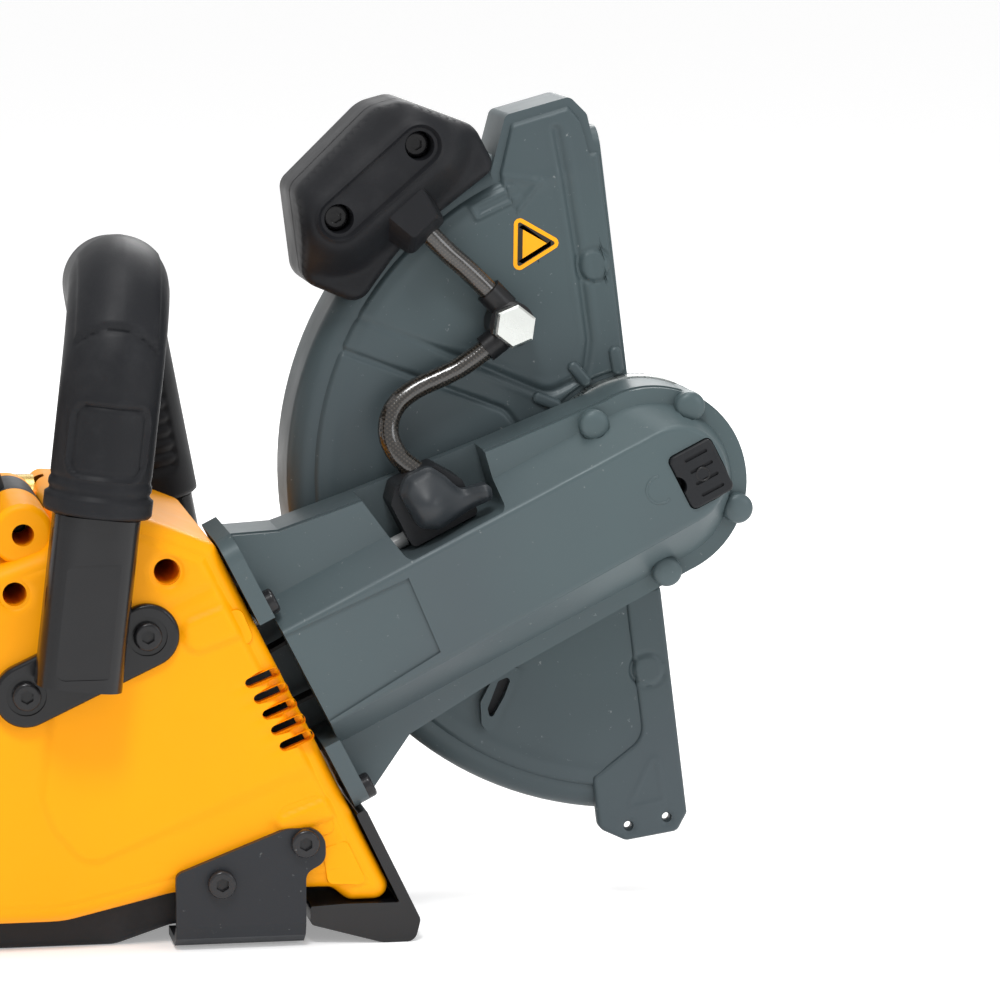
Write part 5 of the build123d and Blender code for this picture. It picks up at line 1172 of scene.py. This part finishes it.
def arm_details():
    """Round caps over the cover's screws, an open arc cast on the cover, and a ring on the lock button."""
    caps = [turned_on_axis(on_arm, u, v, BOSS_PROFILE) for u, v in BOSSES]
    piece("arm_boss_caps", *join(caps), "arm_grey", "saw", ["arm_cover_screws"], sharp=50)
    turns = [radians(a) for a in range(ARC_FROM, ARC_TO + 1, 20)]
    arc = [(ARC_MIDDLE + ARC_R * cos(a), ARC_R * sin(a)) for a in turns]
    piece("arm_face_marks", *bead(on_arm, arc, ARM_FACE + 0.3, 0.6, 0.1), "arm_grey", "saw", sharp=60)
    ring = bead(on_arm, circle(*BUTTON_RING, 24), BUTTON_FACE, 0.4, 0.05, closed=True)
    piece("lock_button_mark", *ring, "trigger_plastic", "lock_button", slot="black_plastic")


arm_details()

# ---- stage, light and camera -----------------------------------------------------------------------
VIEW_YAW, VIEW_RISE, VIEW_DISTANCE = radians(10), radians(8), 1.82
LENS = 180
FLOOR_GLOW, WORLD_LIGHT = 0.3, 0.74
AIM = Vector((SPINDLE.x, -10, SPINDLE.z)) * MM
AIM_RIGHT, AIM_UP = 0.0264, 0.006      # where the aim point lies off the view's centre, per unit of distance


def add_camera():
    """A long lens, a little above the saw's right side and ahead of it."""
    ahead = Vector((sin(VIEW_YAW) * cos(VIEW_RISE), cos(VIEW_YAW) * cos(VIEW_RISE), -sin(VIEW_RISE)))
    right = Vector((cos(VIEW_YAW), -sin(VIEW_YAW), 0))
    up = right.cross(ahead)
    data = bpy.data.cameras.new("camera")
    data.lens, data.sensor_width = LENS, 36
    data.clip_end = 100
    camera = bpy.data.objects.new("camera", data)
    bpy.context.scene.collection.objects.link(camera)
    place = AIM - (ahead + right * AIM_RIGHT + up * AIM_UP) * VIEW_DISTANCE
    turn = Matrix((right, up, -ahead)).transposed().to_4x4()
    camera.matrix_world = Matrix.Translation(place) @ turn
    bpy.context.scene.camera = camera


def add_light(name, place, size, power, colour=(1, 1, 1)):
    """A soft round light that faces the saw."""
    data = bpy.data.lights.new(name, "AREA")
    data.shape, data.size, data.energy, data.color = "DISK", size, power, colour
    light = bpy.data.objects.new(name, data)
    bpy.context.scene.collection.objects.link(light)
    light.location = place
    light.rotation_euler = (AIM - Vector(place)).to_track_quat("-Z", "Y").to_euler()


def add_floor():
    """A wide pale floor that glows a little, so that it runs into the background."""
    mesh = bpy.data.meshes.new("floor")
    half = 30
    corners = [(-half, -half, 0), (half, -half, 0), (half, half, 0), (-half, half, 0)]
    mesh.from_pydata(corners, [], [(0, 1, 2, 3)])
    floor = bpy.data.objects.new("floor", mesh)
    bpy.context.scene.collection.objects.link(floor)
    material = bpy.data.materials.new("floor")
    material.use_nodes = True
    shader = material.node_tree.nodes["Principled BSDF"]
    shader.inputs["Base Color"].default_value = (0.9, 0.9, 0.9, 1)
    shader.inputs["Roughness"].default_value = 0.8
    shader.inputs["Emission Color"].default_value = (1, 1, 1, 1)
    shader.inputs["Emission Strength"].default_value = FLOOR_GLOW
    mesh.materials.append(material)
    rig.stage(floor)


def add_world():
    """Even white light from all round."""
    world = bpy.data.worlds.new("world")
    world.use_nodes = True
    background = world.node_tree.nodes["Background"]
    background.inputs["Color"].default_value = (1, 1, 1, 1)
    background.inputs["Strength"].default_value = WORLD_LIGHT
    bpy.context.scene.world = world


add_camera()
add_floor()
add_world()
add_light("key", (-0.3, -1.4, 2.1), 0.6, 27)
add_light("front_fill", (1.6, -1.6, 0.9), 0.9, 7, (0.93, 0.96, 1))
add_light("top", (0.2, 0.1, 2.2), 1.0, 14)
add_light("rim", (0.6, 1.6, 1.2), 0.9, 12)
bpy.context.scene.view_settings.view_transform = "Standard"

size = {"cad": [list(corner) for corner in CAD_BOX], "visual": [list(corner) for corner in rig.bounds()]}
json.dump(size, open("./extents.json", "w"))
